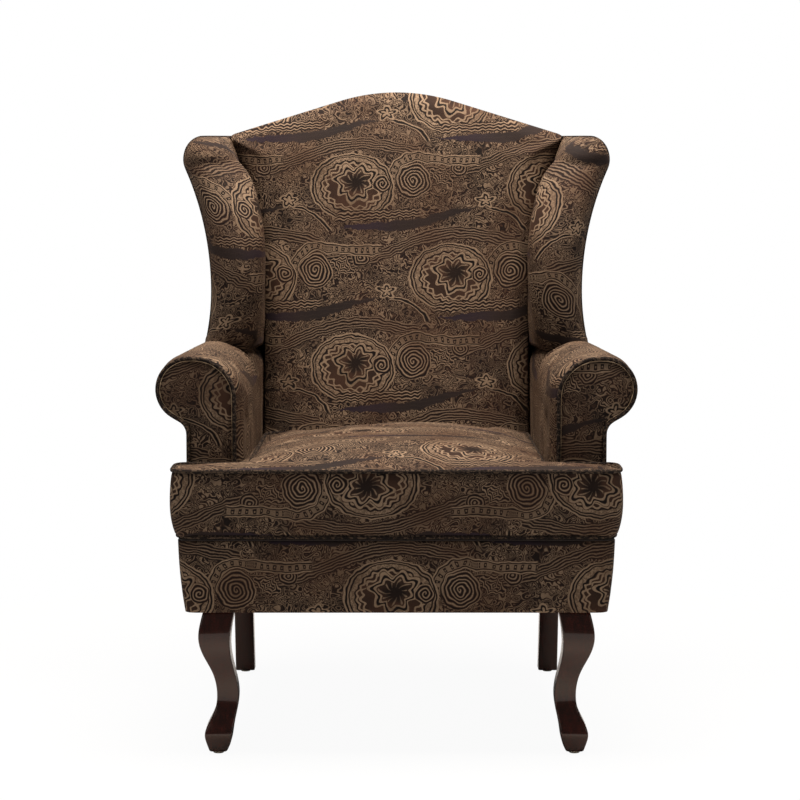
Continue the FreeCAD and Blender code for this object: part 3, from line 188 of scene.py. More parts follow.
def paisleyGroup():
    tree = bpy.data.node_groups.new("paisleyCloth", "ShaderNodeTree")
    tree.interface.new_socket("Place", in_out="INPUT", socket_type="NodeSocketVector")
    tree.interface.new_socket("Colour", in_out="OUTPUT", socket_type="NodeSocketColor")
    tree.interface.new_socket("Relief", in_out="OUTPUT", socket_type="NodeSocketFloat")
    enter = tree.nodes.new("NodeGroupInput")
    leave = tree.nodes.new("NodeGroupOutput")
    place = enter.outputs["Place"]
    flatX, flatY = splitVector(tree, place)
    # every line wavers a little, as woven lines do
    clothX = flatX + (noiseSignal(tree, place, 48.0, 1.0) - 0.5) * 0.010
    clothY = flatY + (noiseSignal(tree, place, 48.0, 1.0, 0.0, 3.7) - 0.5) * 0.010
    fine = noiseSignal(tree, place, 230.0, 1.0, 0.8)

    def cell(motif):
        # place in metres from the centre of the motif that repeats there
        centreX, centreY, *turn = motifs[motif]
        up = (clothY - centreY) / cloth["rowTall"]
        row = up.op("ROUND")
        inY = (up - row) * cloth["rowTall"]
        across = (clothX - centreX) / cloth["repeatWide"] + row * 0.5
        inX = (across - across.op("ROUND")) * cloth["repeatWide"]
        lean = math.radians(sum(turn))
        turnedX = inX * math.cos(lean) + inY * math.sin(lean)
        turnedY = inY * math.cos(lean) - inX * math.sin(lean)
        return turnedX, turnedY

    def polar(x, y, wide=1.0, tall=1.0):
        # reach from the centre and turn round it
        left = x / wide
        up = y / tall
        return (left * left + up * up).op("SQRT"), up.op("ARCTAN2", left)

    def lines(value, spacing, width=0.30):
        # thread lines at an even spacing of a value, with ink between them
        wave = (value / spacing * fullTurn).sine()
        return wave.step(width - 0.35, width + 0.35), wave.step(-0.30, -0.85)

    pattern = {}

    def lay(mask, thread, ink):
        # a motif covers what lies under it
        keep = (-mask) + 1.0
        pattern["thread"] = pattern["thread"] * keep + thread * mask
        pattern["ink"] = pattern["ink"] * keep + ink * mask

    # ground: squiggles that follow the contours of a soft noise
    squiggle = noiseSignal(tree, place, 58.0, 0.0, 1.5)
    threadLines, inkLines = lines(squiggle, 0.150, 0.35)
    patches = noiseSignal(tree, place, 21.0, 1.0).step(0.30, 0.62)
    pattern["thread"] = threadLines * (patches * 0.50 + 0.30)
    pattern["ink"] = inkLines * 0.85

    # river of long fine lines between the rows
    riverX, riverY = cell("river")
    river = riverY - (riverX * 17.95 + 0.6).sine() * 0.017 - riverX * 0.10
    riverThread, riverInk = lines(river + (fine - 0.5) * 0.0012, 0.0046, 0.35)
    lay(river.size().step(0.0125, 0.0105), riverThread * 0.58, riverInk * 0.85)

    # barbed leaf right of the snail, with lines that nest into its middle
    leafX, leafY = cell("leaf")
    barb = (leafX * 300.0).sine().size() * 0.0030
    leafSize = (leafX.size() / 0.030) + ((leafY.size() + barb) / 0.019)
    leafThread, leafInk = lines(leafSize, 0.27)
    lay(leafSize.step(1.05, 1.0), leafThread * 0.85, leafInk)

    # ring right of the leaf
    ringX, ringY = cell("ring")
    ringReach = polar(ringX, ringY)[0]
    ringThread, ringInk = lines(ringReach, 0.0050, 0.45)
    ringMask = ringReach.step(0.0165, 0.0155) * ringY.step(0.011, 0.008)
    lay(ringMask, ringThread * 0.75, ringInk)

    # snail with a spiral heart
    snailX, snailY = cell("snail")
    reach, turn = polar(snailX, snailY)
    spiral = reach + turn * (coilSpacing / fullTurn)
    coilThread, coilInk = lines(spiral, coilSpacing, 0.50)
    lay(reach.step(0.0325, 0.0312), coilThread * 0.92, coilInk)

    # beaded arch that springs from the snail's left, runs over it and away to the right
    archX, archY = cell("arch")
    archReach, archTurn = polar(archX, archY)
    flatRun = (archX - 0.012).step(-0.004, 0.016)
    wave = (archX * 26.0).sine() * 0.004
    straight = archY - 0.0415 + wave + archX * 0.05
    across = (archReach - 0.0415) * ((-flatRun) + 1.0) + straight * flatRun
    upperLeft = (archY + 0.004).step(-0.008, 0.004)
    ends = archX.step(0.118, 0.110)
    archMask = across.size().step(0.0105, 0.0096) * upperLeft * ends
    along = archTurn * (-0.0415) * ((-flatRun) + 1.0) + archX * flatRun
    bead = (along * 571.0).sine()
    beads = bead.step(0.0, 0.45) * across.size().step(0.0046, 0.0034)
    eyes = bead.step(0.72, 0.95) * across.size().step(0.0020, 0.0010)
    edges = across.stroke(0.0082, 0.0007, 0.0009)
    edges = edges.most(across.stroke(-0.0082, 0.0007, 0.0009))
    band = ((-beads) + 1.0) * across.size().step(0.0058, 0.0050)
    archThread = edges.most(band * 0.62)
    archInk = (beads - eyes).most(across.size().stroke(0.0065, 0.0005, 0.0008))
    lay(archMask, archThread.most(eyes * 0.8), archInk * 0.9)

    # stems: twin lines that sweep down into the foot of the teardrop
    stemX, stemY = cell("stem")
    stem = polar(stemX + 0.050, stemY + 0.050, 1.35, 1.0)[0]
    quarter = stemX.step(-0.052, -0.044) * stemY.step(-0.040, -0.034)
    quarter = quarter * stemX.step(0.030, 0.026)
    stemThread = stem.stroke(0.0560, 0.0007, 0.0009).most(stem.stroke(0.0515, 0.0005, 0.0008))
    stemMask = stem.stroke(0.0537, 0.0042, 0.0008) * quarter
    lay(stemMask, stemThread * 0.95, stem.stroke(0.0537, 0.0012, 0.001))

    # buds with five petals between the rows
    budX, budY = cell("bud")
    bud, budTurn = polar(budX, budY, 1.3, 1.0)
    petals = bud - (budTurn * 5.0).sine() * 0.0030
    budThread = petals.stroke(0.0105, 0.0016, 0.001).most(petals.step(0.0060, 0.0048))
    lay(petals.step(0.0135, 0.0125), budThread, petals.stroke(0.0078, 0.0012, 0.001))

    # the large teardrop lies on its side: nested scalloped bands round a lobed leaf
    dropX, dropY = cell("drop")
    shell, shellTurn = polar(dropX + dropY * 0.10, dropY, 0.0745, 0.0610)
    scallop = (shellTurn * 22.0).sine()
    tailX, tailY = cell("hem")
    rim = shell.stroke(0.980, 0.014, 0.014).most(shell.stroke(0.905, 0.010, 0.012) * 0.8)
    rimInk = shell.stroke(0.943, 0.010, 0.014)
    bandOne = (shell + scallop * 0.012).stroke(0.815, 0.045, 0.012)
    bandOne = bandOne * (fine.step(0.42, 0.60) * 0.5 + 0.45)
    waveInk = (shell + scallop * 0.018).stroke(0.745, 0.010, 0.012)
    waveInk = waveInk.most(shell.stroke(0.875, 0.008, 0.012))
    waveOne = (shell + scallop * 0.028).stroke(0.690, 0.018, 0.014)
    waveTwo = (shell + (shellTurn * 16.0).sine() * 0.036).stroke(0.600, 0.016, 0.014)
    heartX, heartY = cell("heart")
    heart, heartTurn = polar(heartX, heartY, 0.0375, 0.0330)
    lobeRule = (heartTurn * 8.0).sine() * 0.15 + (heartTurn * 3.0 + 0.8).sine() * 0.10
    lobes = heart / (lobeRule + 1.0)
    lobeThread = lobes.stroke(0.93, 0.045, 0.04).most(lobes.stroke(0.70, 0.035, 0.04))
    lobeInk = lobes.stroke(0.815, 0.040, 0.04).most(lobes.step(0.55, 0.30) * 0.75)
    veins = (heartTurn * 11.0 + heart * 7.0).sine().step(0.55, 0.95) * lobes.stroke(0.42, 0.14, 0.05)
    inHeart = lobes.step(1.06, 1.0)
    dropThread = rim.most(bandOne).most(waveOne).most(waveTwo)
    lay(shell.step(1.015, 0.995), dropThread, rimInk.most(waveInk))
    lay(inHeart, lobeThread.most(veins * 0.8), lobeInk)

    # scalloped hem that carries the teardrop's foot to the right, and the curl at its right shoulder
    hem = tailY + (tailX * 480.0).sine() * 0.0010 - tailX * 0.05
    hemThread, hemInk = lines(hem + 0.0011, 0.0052, 0.50)
    hemMask = hem.size().step(0.0090, 0.0080) * (tailX - 0.026).size().step(0.080, 0.070)
    lay(hemMask, hemThread * 0.95, hemInk)
    curlX, curlY = cell("curl")
    curlReach, curlTurn = polar(curlX, curlY)
    curl = curlReach - curlTurn * (curlSpacing / fullTurn)
    curlThread, curlInk = lines(curl, curlSpacing, 0.50)
    lay(curlReach.step(0.0165, 0.0155), curlThread, curlInk)

    # dark streak under the hem that rises to the right
    streakX, streakY = cell("streak")
    lift = (streakX - 0.045).step(-0.06, 0.08) * 0.027
    taper = streakX / 0.128
    streakShape = ((streakY - lift - streakX * 0.03) / 0.0092).size() + taper * taper
    streak = (streakShape + (fine - 0.5) * 0.7).step(1.04, 0.86)
    flame = (streakY * 900.0 - streakX * 60.0).sine().step(0.5, 1.0) * 0.10
    lay(streak, flame, streak * 0.0)

    # worn yarn and the weave, then ground, thread, ink and streak as colour
    wear = noiseSignal(tree, place, 520.0, 1.0)
    warp = (flatX * 4200.0).sine() * (flatY * 4200.0).sine()
    thread = pattern["thread"] * (wear * 0.9 + 0.50) * (warp * 0.10 + 1.0)
    thread = thread.least(1.0)
    ink = pattern["ink"].least(1.0)
    mottle = noiseSignal(tree, place, 10.0, 2.0)
    ground = mixColours(tree, mottle.step(0.35, 0.65), cloth["ground"], cloth["groundWarm"])
    yarn = mixColours(tree, mottle.step(0.40, 0.75), cloth["thread"], cloth["threadDim"])
    colour = mixColours(tree, thread, ground, yarn)
    colour = mixColours(tree, ink * 0.9, colour, cloth["ink"])
    violet = mixColours(tree, streakX.step(0.0, -0.09), cloth["streak"], cloth["streakViolet"])
    colour = mixColours(tree, streak * 0.8, colour, violet)
    tree.links.new(colour, leave.inputs["Colour"])
    relief = thread * 0.55 - ink * 0.45 + warp * 0.12 + wear * 0.30
    tree.links.new(relief.socket, leave.inputs["Relief"])
    return tree


paisley = paisleyGroup()


def newMaterial(name):
    material = bpy.data.materials.new(name)
    material.use_nodes = True
    return material, material.node_tree, material.node_tree.nodes["Principled BSDF"]


def addBump(tree, shader, relief, depth, strength=1.0):
    bump = tree.nodes.new("ShaderNodeBump")
    bump.inputs["Distance"].default_value = depth
    bump.inputs["Strength"].default_value = strength
    tree.links.new(relief, bump.inputs["Height"])
    tree.links.new(bump.outputs["Normal"], shader.inputs["Normal"])


# Cloth on a piece's own map, in metres
def paisleyMaterial(name):
    material, tree, shader = newMaterial(name)
    group = tree.nodes.new("ShaderNodeGroup")
    group.node_tree = paisley
    mapNode = tree.nodes.new("ShaderNodeUVMap")
    mapNode.uv_map = "clothMap"
    tree.links.new(mapNode.outputs["UV"], group.inputs["Place"])
    tree.links.new(group.outputs["Colour"], shader.inputs["Base Color"])
    shader.inputs["Roughness"].default_value = 0.78
    shader.inputs["Specular IOR Level"].default_value = 0.08
    shader.inputs["Sheen Weight"].default_value = 0.03
    shader.inputs["Sheen Roughness"].default_value = 0.35
    shader.inputs["Sheen Tint"].default_value = (0.75, 0.45, 0.28, 1.0)
    addBump(tree, shader, group.outputs["Relief"], 0.0006, 0.7)
    return material


def objectPlace(tree):
    return tree.nodes.new("ShaderNodeTexCoord").outputs["Object"]


# Places drawn out along one axis, for grain
def stretched(tree, place, scale):
    mapping = tree.nodes.new("ShaderNodeMapping")
    mapping.inputs["Scale"].default_value = scale
    tree.links.new(place, mapping.inputs["Vector"])
    return mapping.outputs[0]


# The same cloth cut on the bias, so only a dark twill and flecks of thread show
def pipingMaterial():
    material, tree, shader = newMaterial("pipingCloth")
    attribute = tree.nodes.new("ShaderNodeAttribute")
    attribute.attribute_name = "cordPlace"
    along, around = splitVector(tree, attribute.outputs["Vector"])
    twill = ((along + around) * 3400.0).sine()
    flecks = noiseSignal(tree, attribute.outputs["Vector"], 190.0, 2.0, 1.0).step(0.48, 0.62)
    colour = mixColours(tree, flecks * 0.75, (0.0075, 0.0045, 0.0034), (0.095, 0.062, 0.040))
    tree.links.new(colour, shader.inputs["Base Color"])
    shader.inputs["Roughness"].default_value = 0.82
    shader.inputs["Specular IOR Level"].default_value = 0.10
    addBump(tree, shader, (twill * 0.5 + flecks * 0.5).socket, 0.0005)
    return material


# Dark cherry under a thick clear lacquer, with faint grain, handling marks and a painted highlight on
# the sharp edges
def lacquerMaterial():
    material, tree, shader = newMaterial("darkLacquer")
    place = objectPlace(tree)
    grain = noiseSignal(tree, stretched(tree, place, (1.0, 1.0, 0.09)), 190.0, 4.0, 0.6)
    cloud = noiseSignal(tree, place, 14.0, 3.0)
    grainLines = grain.step(0.35, 0.70)
    colour = mixColours(tree, grainLines, (0.0100, 0.0024, 0.0020), (0.0260, 0.0050, 0.0036))
    colour = mixColours(tree, cloud.step(0.45, 0.75) * 0.5, colour, (0.0200, 0.0032, 0.0026))
    edge = tree.nodes.new("ShaderNodeNewGeometry")
    # painted highlight: a lighter colour, in patches, on the sharp edges where they catch the light
    edgeHighlight = Signal(tree, edge.outputs["Pointiness"]).step(0.53, 0.60) * cloud.step(0.40, 0.60)
    colour = mixColours(tree, edgeHighlight * 0.30, colour, (0.050, 0.020, 0.012))
    tree.links.new(colour, shader.inputs["Base Color"])
    rough = noiseSignal(tree, place, 60.0, 3.0) * 0.08 + 0.13
    tree.links.new(rough.socket, shader.inputs["Roughness"])
    shader.inputs["Coat Weight"].default_value = 0.35
    shader.inputs["Coat Roughness"].default_value = 0.06
    shader.inputs["Coat Tint"].default_value = (1.0, 0.90, 0.82, 1.0)
    shader.inputs["Specular Tint"].default_value = (1.0, 0.78, 0.62, 1.0)
    shader.inputs["Specular IOR Level"].default_value = 0.30
    addBump(tree, shader, grain.socket, 0.00012)
    return material


def plainCloth(name, dark, light, scale):
    material, tree, shader = newMaterial(name)
    place = objectPlace(tree)
    x, y = splitVector(tree, place)
    weave = (x * scale).sine() * (y * scale).sine()
    speck = noiseSignal(tree, place, 300.0, 2.0)
    share = (weave * 0.25 + speck).step(0.25, 0.85)
    tree.links.new(mixColours(tree, share, dark, light), shader.inputs["Base Color"])
    shader.inputs["Roughness"].default_value = 0.9
    addBump(tree, shader, (weave + speck).socket, 0.0003)
    return material


def frameWood():
    material, tree, shader = newMaterial("frameHardwood")
    place = objectPlace(tree)
    grain = noiseSignal(tree, stretched(tree, place, (0.12, 1.0, 1.0)), 120.0, 5.0, 0.8)
    colour = mixColours(tree, grain.step(0.3, 0.7), (0.40, 0.25, 0.13), (0.60, 0.42, 0.25))
    tree.links.new(colour, shader.inputs["Base Color"])
    shader.inputs["Roughness"].default_value = 0.65
    addBump(tree, shader, grain.socket, 0.0002)
    return material


def dullMetal(name, dark, light):
    material, tree, shader = newMaterial(name)
    scratch = noiseSignal(tree, objectPlace(tree), 220.0, 4.0, 0.4)
    tree.links.new(mixColours(tree, scratch, dark, light), shader.inputs["Base Color"])
    shader.inputs["Metallic"].default_value = 1.0
    tree.links.new((scratch * 0.3 + 0.3).socket, shader.inputs["Roughness"])
    return material


def glidePlastic():
    material, tree, shader = newMaterial("glidePlastic")
    speck = noiseSignal(tree, objectPlace(tree), 180.0, 3.0)
    colour = mixColours(tree, speck.step(0.35, 0.75), (0.58, 0.50, 0.38), (0.42, 0.35, 0.26))
    tree.links.new(colour, shader.inputs["Base Color"])
    tree.links.new((speck * 0.25 + 0.45).socket, shader.inputs["Roughness"])
    return material


def foamMaterial():
    material, tree, shader = newMaterial("openFoam")
    place = objectPlace(tree)
    cells = tree.nodes.new("ShaderNodeTexVoronoi")
    cells.inputs["Scale"].default_value = 700.0
    tree.links.new(place, cells.inputs["Vector"])
    pores = Signal(tree, cells.outputs["Distance"])
    colour = mixColours(tree, pores.step(0.1, 0.6), (0.52, 0.44, 0.28), (0.78, 0.70, 0.50))
    tree.links.new(colour, shader.inputs["Base Color"])
    shader.inputs["Roughness"].default_value = 0.95
    addBump(tree, shader, pores.socket, 0.0004)
    return material


wrapCloth = paisleyMaterial("paisleyWrap")
pipingCloth = pipingMaterial()
darkLacquer = lacquerMaterial()
deckCloth = plainCloth("deckCloth", (0.020, 0.013, 0.010), (0.050, 0.034, 0.025), 4200.0)
dustCloth = plainCloth("dustCloth", (0.008, 0.008, 0.009), (0.020, 0.020, 0.022), 2600.0)
tapeCloth = plainCloth("zipperTape", (0.012, 0.008, 0.007), (0.040, 0.027, 0.021), 5200.0)
hardwood = frameWood()
springSteel = dullMetal("springSteel", (0.20, 0.20, 0.21), (0.45, 0.45, 0.47))
zipperMetal = dullMetal("zipperMetal", (0.22, 0.16, 0.08), (0.46, 0.36, 0.20))
glideMaterial = glidePlastic()
openFoam = foamMaterial()
slotMaterials = {
    "upholstery": wrapCloth,
    "foam": openFoam,
    "deck_cloth": deckCloth,
    "dust_cloth": dustCloth,
    "zipper_tape": tapeCloth,
    "frame_hardwood": hardwood,
    "dark_lacquered_wood": darkLacquer,
    "spring_steel": springSteel,
    "zipper_metal": zipperMetal,
    "glide_plastic": glideMaterial,
}
for entry in frame["record"]["subparts"]:
    mesh = nodes[entry["node"]].data
    mesh.materials.clear()
    mesh.materials.append(slotMaterials[entry["material_slot"]])
print("materials ready")


# Mesh helpers
def finishMesh(name, bm, material, smooth=True):
    bmesh.ops.recalc_face_normals(bm, faces=bm.faces[:])
    mesh = bpy.data.meshes.new(name)
    bm.to_mesh(mesh)
    bm.free()
    piece = intoScene(bpy.data.objects.new(name, mesh))
    mesh.materials.append(material)
    mesh.polygons.foreach_set("use_smooth", [smooth] * len(mesh.polygons))
    return piece


def clothLayer(bm):
    layers = bm.loops.layers.uv
    return layers.get("clothMap") or layers.new("clothMap")


# Adds a grid of quads, with the cloth map from the flat places of its points
def gridInto(bm, grid, flat):
    layer = clothLayer(bm)
    rows = len(grid)
    columns = len(grid[0])
    verts = [[bm.verts.new(point) for point in row] for row in grid]
    for r in range(rows - 1):
        for c in range(columns - 1):
            corners = ((r, c), (r, c + 1), (r + 1, c + 1), (r + 1, c))
            face = bm.faces.new([verts[i][j] for i, j in corners])
            for loop, (i, j) in zip(face.loops, corners):
                loop[layer].uv = flat[i][j]


# Fills a closed outline in the XY plane with even triangles, raised by a height rule
def panelInto(bm, outline, spacing, height, flat):
    layer = clothLayer(bm)
    ring = np.array(outline)
    low = ring.min(axis=0)
    high = ring.max(axis=0)
    count = len(ring)
    inside = []
    x0 = ring[:, 0]
    y0 = ring[:, 1]
    x1 = np.roll(x0, -1)
    y1 = np.roll(y0, -1)
    length = np.maximum((x1 - x0) ** 2 + (y1 - y0) ** 2, 1e-12)
    for row, y in enumerate(np.arange(low[1] + spacing / 2, high[1], spacing * 0.87)):
        for x in np.arange(low[0] + spacing * (0.5 + 0.5 * (row % 2)), high[0], spacing):
            meet = (x1 - x0) * (y - y0) / (y1 - y0 + 1e-15) + x0
            crossing = ((y0 > y) != (y1 > y)) & (x < meet)
            if crossing.sum() % 2 == 0:  # outside the outline
                continue
            share = np.clip(((x - x0) * (x1 - x0) + (y - y0) * (y1 - y0)) / length, 0, 1)
            offX = x - x0 - share * (x1 - x0)
            offY = y - y0 - share * (y1 - y0)
            if np.hypot(offX, offY).min() > spacing * 0.55:
                inside.append((x, y))
    points = [Vector(p) for p in outline] + [Vector(p) for p in inside]
    edges = [(i, (i + 1) % count) for i in range(count)]
    filled = delaunay_2d_cdt(points, edges, [], 1, 1e-7)
    flatPoints, faces = filled[0], filled[2]
    verts = [bm.verts.new(height(p.x, p.y)) for p in flatPoints]
    for face in faces:
        made = bm.faces.new([verts[i] for i in face])
        for loop, i in zip(made.loops, face):
            loop[layer].uv = flat(flatPoints[i].x, flatPoints[i].y)


def weld(bm, close=True):
    bmesh.ops.remove_doubles(bm, verts=bm.verts[:], dist=0.00005)
    if close:
        rims = [edge for edge in bm.edges if edge.is_boundary]
        if rims:
            bmesh.ops.holes_fill(bm, edges=rims, sides=0)
        wide = [face for face in bm.faces if len(face.verts) > 4]
        bmesh.ops.triangulate(bm, faces=wide)


def arcPoints(centreX, centreY, radius, start, end, count):
    turns = np.radians(np.linspace(start, end, count))
    return [(centreX + radius * math.cos(t), centreY + radius * math.sin(t)) for t in turns]


# The same line with points at an even spacing, ends kept, and how far along it each lies
def evenly(points, spacing):
    line = np.array(points, float)
    steps = np.r_[0, np.cumsum(np.linalg.norm(np.diff(line, axis=0), axis=1))]
    count = max(int(round(steps[-1] / spacing)), 2)
    marks = np.linspace(0, steps[-1], count + 1)
    return np.stack([np.interp(marks, steps, line[:, k]) for k in range(line.shape[1])], 1), marks


# Closed outline from (x, y, radius) corners, as even points
def roundedOutline(corners, spacing):
    points = []
    count = len(corners)
    for index, (x, y, radius) in enumerate(corners):
        here = Vector((x, y))
        before = (Vector(corners[index - 1][:2]) - here).normalized()
        after = (Vector(corners[(index + 1) % count][:2]) - here).normalized()
        half = before.angle(after) / 2.0
        centre = here + (before + after).normalized() * (radius / math.sin(half))
        first = here + before * (radius / math.tan(half))
        last = here + after * (radius / math.tan(half))
        for share in np.linspace(0, 1, 9):
            spoke = (first - centre).normalized().slerp((last - centre).normalized(), share)
            points.append(tuple(centre + spoke * radius))
    points.append(points[0])
    line, marks = evenly(points, spacing)
    return line[:-1], marks


# Distance from a place to a closed outline
def gapRule(outline):
    closed = np.array(outline + [outline[0]])
    starts = closed[:-1]
    runs = np.diff(closed, axis=0)
    lengths = np.maximum((runs**2).sum(axis=1), 1e-12)

    def gap(x, y):
        offset = np.array((x, y)) - starts
        share = np.clip((offset * runs).sum(axis=1) / lengths, 0, 1)
        return np.linalg.norm(offset - runs * share[:, None], axis=1).min()

    return gap


def pointsOf(piece):
    return np.array([v.co[:] for v in piece.data.vertices])


coverCloth = {
    "frames": 20,
    "quality": 6,
    "mass": 0.35,
    "tension": 14.0,
    "shear": 6.0,
    "bending": 0.6,
}


# Blows the cloth up a little against its pinned seams, then keeps the result in the mesh.
# The cap is the farthest that a point may move.
def simulate(piece, pinned, pressure, cap):
    group = piece.vertex_groups.new(name="seams")
    group.add([int(i) for i in np.where(pinned)[0]], 1.0, "REPLACE")
    rest = pointsOf(piece)
    modifier = piece.modifiers.new("cloth", "CLOTH")
    settings = modifier.settings
    settings.quality = coverCloth["quality"]
    settings.mass = coverCloth["mass"]
    settings.tension_stiffness = coverCloth["tension"]
    settings.compression_stiffness = coverCloth["tension"]
    settings.shear_stiffness = coverCloth["shear"]
    settings.bending_stiffness = coverCloth["bending"]
    settings.use_pressure = True
    settings.uniform_pressure_force = pressure
    settings.vertex_group_mass = "seams"
    settings.effector_weights.gravity = 0.0
    modifier.collision_settings.use_collision = False
    modifier.point_cache.frame_start = 1
    modifier.point_cache.frame_end = coverCloth["frames"]
    scene = bpy.context.scene
    for step in range(1, coverCloth["frames"] + 1):
        scene.frame_set(step)
    graph = bpy.context.evaluated_depsgraph_get()
    blown = piece.evaluated_get(graph)
    moved = pointsOf(blown) - rest
    piece.modifiers.remove(modifier)
    piece.vertex_groups.clear()
    scene.frame_set(1)
    if not np.isfinite(moved).all() or len(moved) != len(rest):
        print("simulation left out:", piece.name)
        return
    reach = np.linalg.norm(moved, axis=1, keepdims=True)
    scale = cap * np.tanh(reach / cap) / np.maximum(reach, 1e-9)
    piece.data.vertices.foreach_set("co", (rest + moved * scale).ravel())
    piece.data.update()
    print("simulated", piece.name, "largest move in mm:", round(float(reach.max()) * 1000, 1))


# Puts a finished piece on its body and hides the CAD nodes that it replaces
def dress(piece, body, *replaced, fill=None, slotName="upholstery"):
    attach(piece, body)
    if replaced:
        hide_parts(*replaced)
    return piece


# Piping: one Geometry Nodes tree sweeps a cord along the edges of a mesh line
def pipingTree():
    tree = bpy.data.node_groups.new("pipingCord", "GeometryNodeTree")
    ask = tree.interface.new_socket
    ask("Geometry", in_out="INPUT", socket_type="NodeSocketGeometry")
    ask("Radius", in_out="INPUT", socket_type="NodeSocketFloat")
    ask("Spacing", in_out="INPUT", socket_type="NodeSocketFloat")
    ask("Cloth", in_out="INPUT", socket_type="NodeSocketMaterial")
    ask("Geometry", in_out="OUTPUT", socket_type="NodeSocketGeometry")
    enter = tree.nodes.new("NodeGroupInput")
    leave = tree.nodes.new("NodeGroupOutput")
    toCurve = tree.nodes.new("GeometryNodeMeshToCurve")
    resample = tree.nodes.new("GeometryNodeResampleCurve")
    resample.mode = "LENGTH"
    measure = tree.nodes.new("GeometryNodeSplineParameter")
    keepLength = tree.nodes.new("GeometryNodeCaptureAttribute")
    keepLength.capture_items.new("FLOAT", "length")
    ring = tree.nodes.new("GeometryNodeCurvePrimitiveCircle")
    ring.inputs["Resolution"].default_value = 14
    ringMeasure = tree.nodes.new("GeometryNodeSplineParameter")
    keepAround = tree.nodes.new("GeometryNodeCaptureAttribute")
    keepAround.capture_items.new("FLOAT", "around")
    sweep = tree.nodes.new("GeometryNodeCurveToMesh")
    sweep.inputs["Fill Caps"].default_value = True
    join = tree.nodes.new("ShaderNodeCombineXYZ")
    store = tree.nodes.new("GeometryNodeStoreNamedAttribute")
    store.data_type = "FLOAT_VECTOR"
    store.inputs["Name"].default_value = "cordPlace"
    realize = tree.nodes.new("GeometryNodeRealizeInstances")
    smooth = tree.nodes.new("GeometryNodeSetShadeSmooth")
    paint = tree.nodes.new("GeometryNodeSetMaterial")
    link = tree.links.new
    link(enter.outputs["Geometry"], toCurve.inputs[0])
    link(toCurve.outputs[0], resample.inputs["Curve"])
    link(enter.outputs["Spacing"], resample.inputs["Length"])
    link(resample.outputs[0], keepLength.inputs["Geometry"])
    link(measure.outputs["Length"], keepLength.inputs["length"])
    link(enter.outputs["Radius"], ring.inputs["Radius"])
    link(ring.outputs[0], keepAround.inputs["Geometry"])
    link(ringMeasure.outputs["Length"], keepAround.inputs["around"])
    link(keepLength.outputs["Geometry"], sweep.inputs["Curve"])
    link(keepAround.outputs["Geometry"], sweep.inputs["Profile Curve"])
    link(keepLength.outputs["length"], join.inputs[0])
    link(keepAround.outputs["around"], join.inputs[1])
    link(sweep.outputs[0], store.inputs["Geometry"])
    link(join.outputs[0], store.inputs["Value"])
    link(store.outputs[0], realize.inputs[0])
    link(realize.outputs[0], smooth.inputs[0])
    link(smooth.outputs[0], paint.inputs["Geometry"])
    link(enter.outputs["Cloth"], paint.inputs["Material"])
    link(paint.outputs[0], leave.inputs[0])
    return tree


pipingNodes = pipingTree()
lineSpacing = 0.004  # between the points of a seam or a cord


# A cord of piping along a line of points
def piping(name, points, radius, closed, body, replaced):
    mesh = bpy.data.meshes.new(name + "_line")
    count = len(points)
    links = [(i, i + 1) for i in range(count - 1)]
    if closed:
        links.append((count - 1, 0))
    mesh.from_pydata([tuple(p) for p in points], links, [])
    guide = intoScene(bpy.data.objects.new(name + "_line", mesh))
    modifier = guide.modifiers.new("piping", "NODES")
    modifier.node_group = pipingNodes
    asked = [item for item in pipingNodes.interface.items_tree if item.in_out == "INPUT"]
    names = {item.name: item.identifier for item in asked}
    modifier[names["Radius"]] = radius
    modifier[names["Spacing"]] = lineSpacing
    modifier[names["Cloth"]] = pipingCloth
    graph = bpy.context.evaluated_depsgraph_get()
    swept = bpy.data.meshes.new_from_object(guide.evaluated_get(graph))
    bpy.data.objects.remove(guide)
    piece = intoScene(bpy.data.objects.new(name, swept))
    return dress(piece, body, *replaced)


# Shared shapes of the chair, as in the CAD
backShape = {
    "halfWidth": 0.2354,
    "flareStart": 0.680,
    "flareRadius": 0.621,
    "crest": 1.0485,
    "crestRadius": 0.340,
    "crestSlope": math.radians(17.2),
    "front": (0.165, 0.460, math.radians(12.5)),  # y at a height, and the rake there
    "rear": (0.2672, 0.230, math.radians(7.55)),
    "sheetRoom": 0.0026,
    "edgeRound": 0.022,
    "crown": 0.008,
    "low": 0.3453,
    "inset": 0.0005,
    "clothFrom": (0.078, 0.879),
    "columns": 84,
    "rows": 96,
    "wallSteps": 9,
    "puff": (2.2, 0.0035),  # pressure and cap of the simulation
}


def rakedY(start, level, rake, z):
    return start + (z - level) * math.tan(rake)


def insideBackY(z):
    return rakedY(*backShape["front"], z)


def outsideBackY(z):
    return rakedY(*backShape["rear"], z)


# Where the padded pieces end, just in front of the outside back
def paddingEndY(z):
    return outsideBackY(z) - backShape["sheetRoom"]


def flareX(z):
    rise = max(z - backShape["flareStart"], 0.0)
    radius = backShape["flareRadius"]
    return backShape["halfWidth"] + radius - math.sqrt(radius**2 - rise**2)


kneeX = backShape["crestRadius"] * math.sin(backShape["crestSlope"])
crestCentre = backShape["crest"] - backShape["crestRadius"]


def crestZ(x):
    x = abs(x)
    if x < kneeX:
        return crestCentre + math.sqrt(backShape["crestRadius"] ** 2 - x * x)
    kneeZ = crestCentre + backShape["crestRadius"] * math.cos(backShape["crestSlope"])
    return kneeZ - (x - kneeX) * math.tan(backShape["crestSlope"])


arm = {
    "front": -0.265,
    "swell": 0.037,
    "low": 0.3237,
    # inner face, top, middle of the roll, and radii of roll, shoulder and underside
    "facing": (0.257, 0.619, 0.3295, 0.049, 0.063, 0.026),
    "full": (0.241, 0.624, 0.3295, 0.051, 0.066, 0.026),
    "rear": (0.2385, 0.620, 0.290, 0.036, 0.048, 0.014),
    "rearY": 0.330,
    "neckHalf": (0.330, 0.296, 0.530),  # at the front, at the rear, and the run between
    "clothFrom": (0.140, 0.790),
    "columns": 100,
    "sections": 66,
    "puff": (1.5, 0.0022),
}


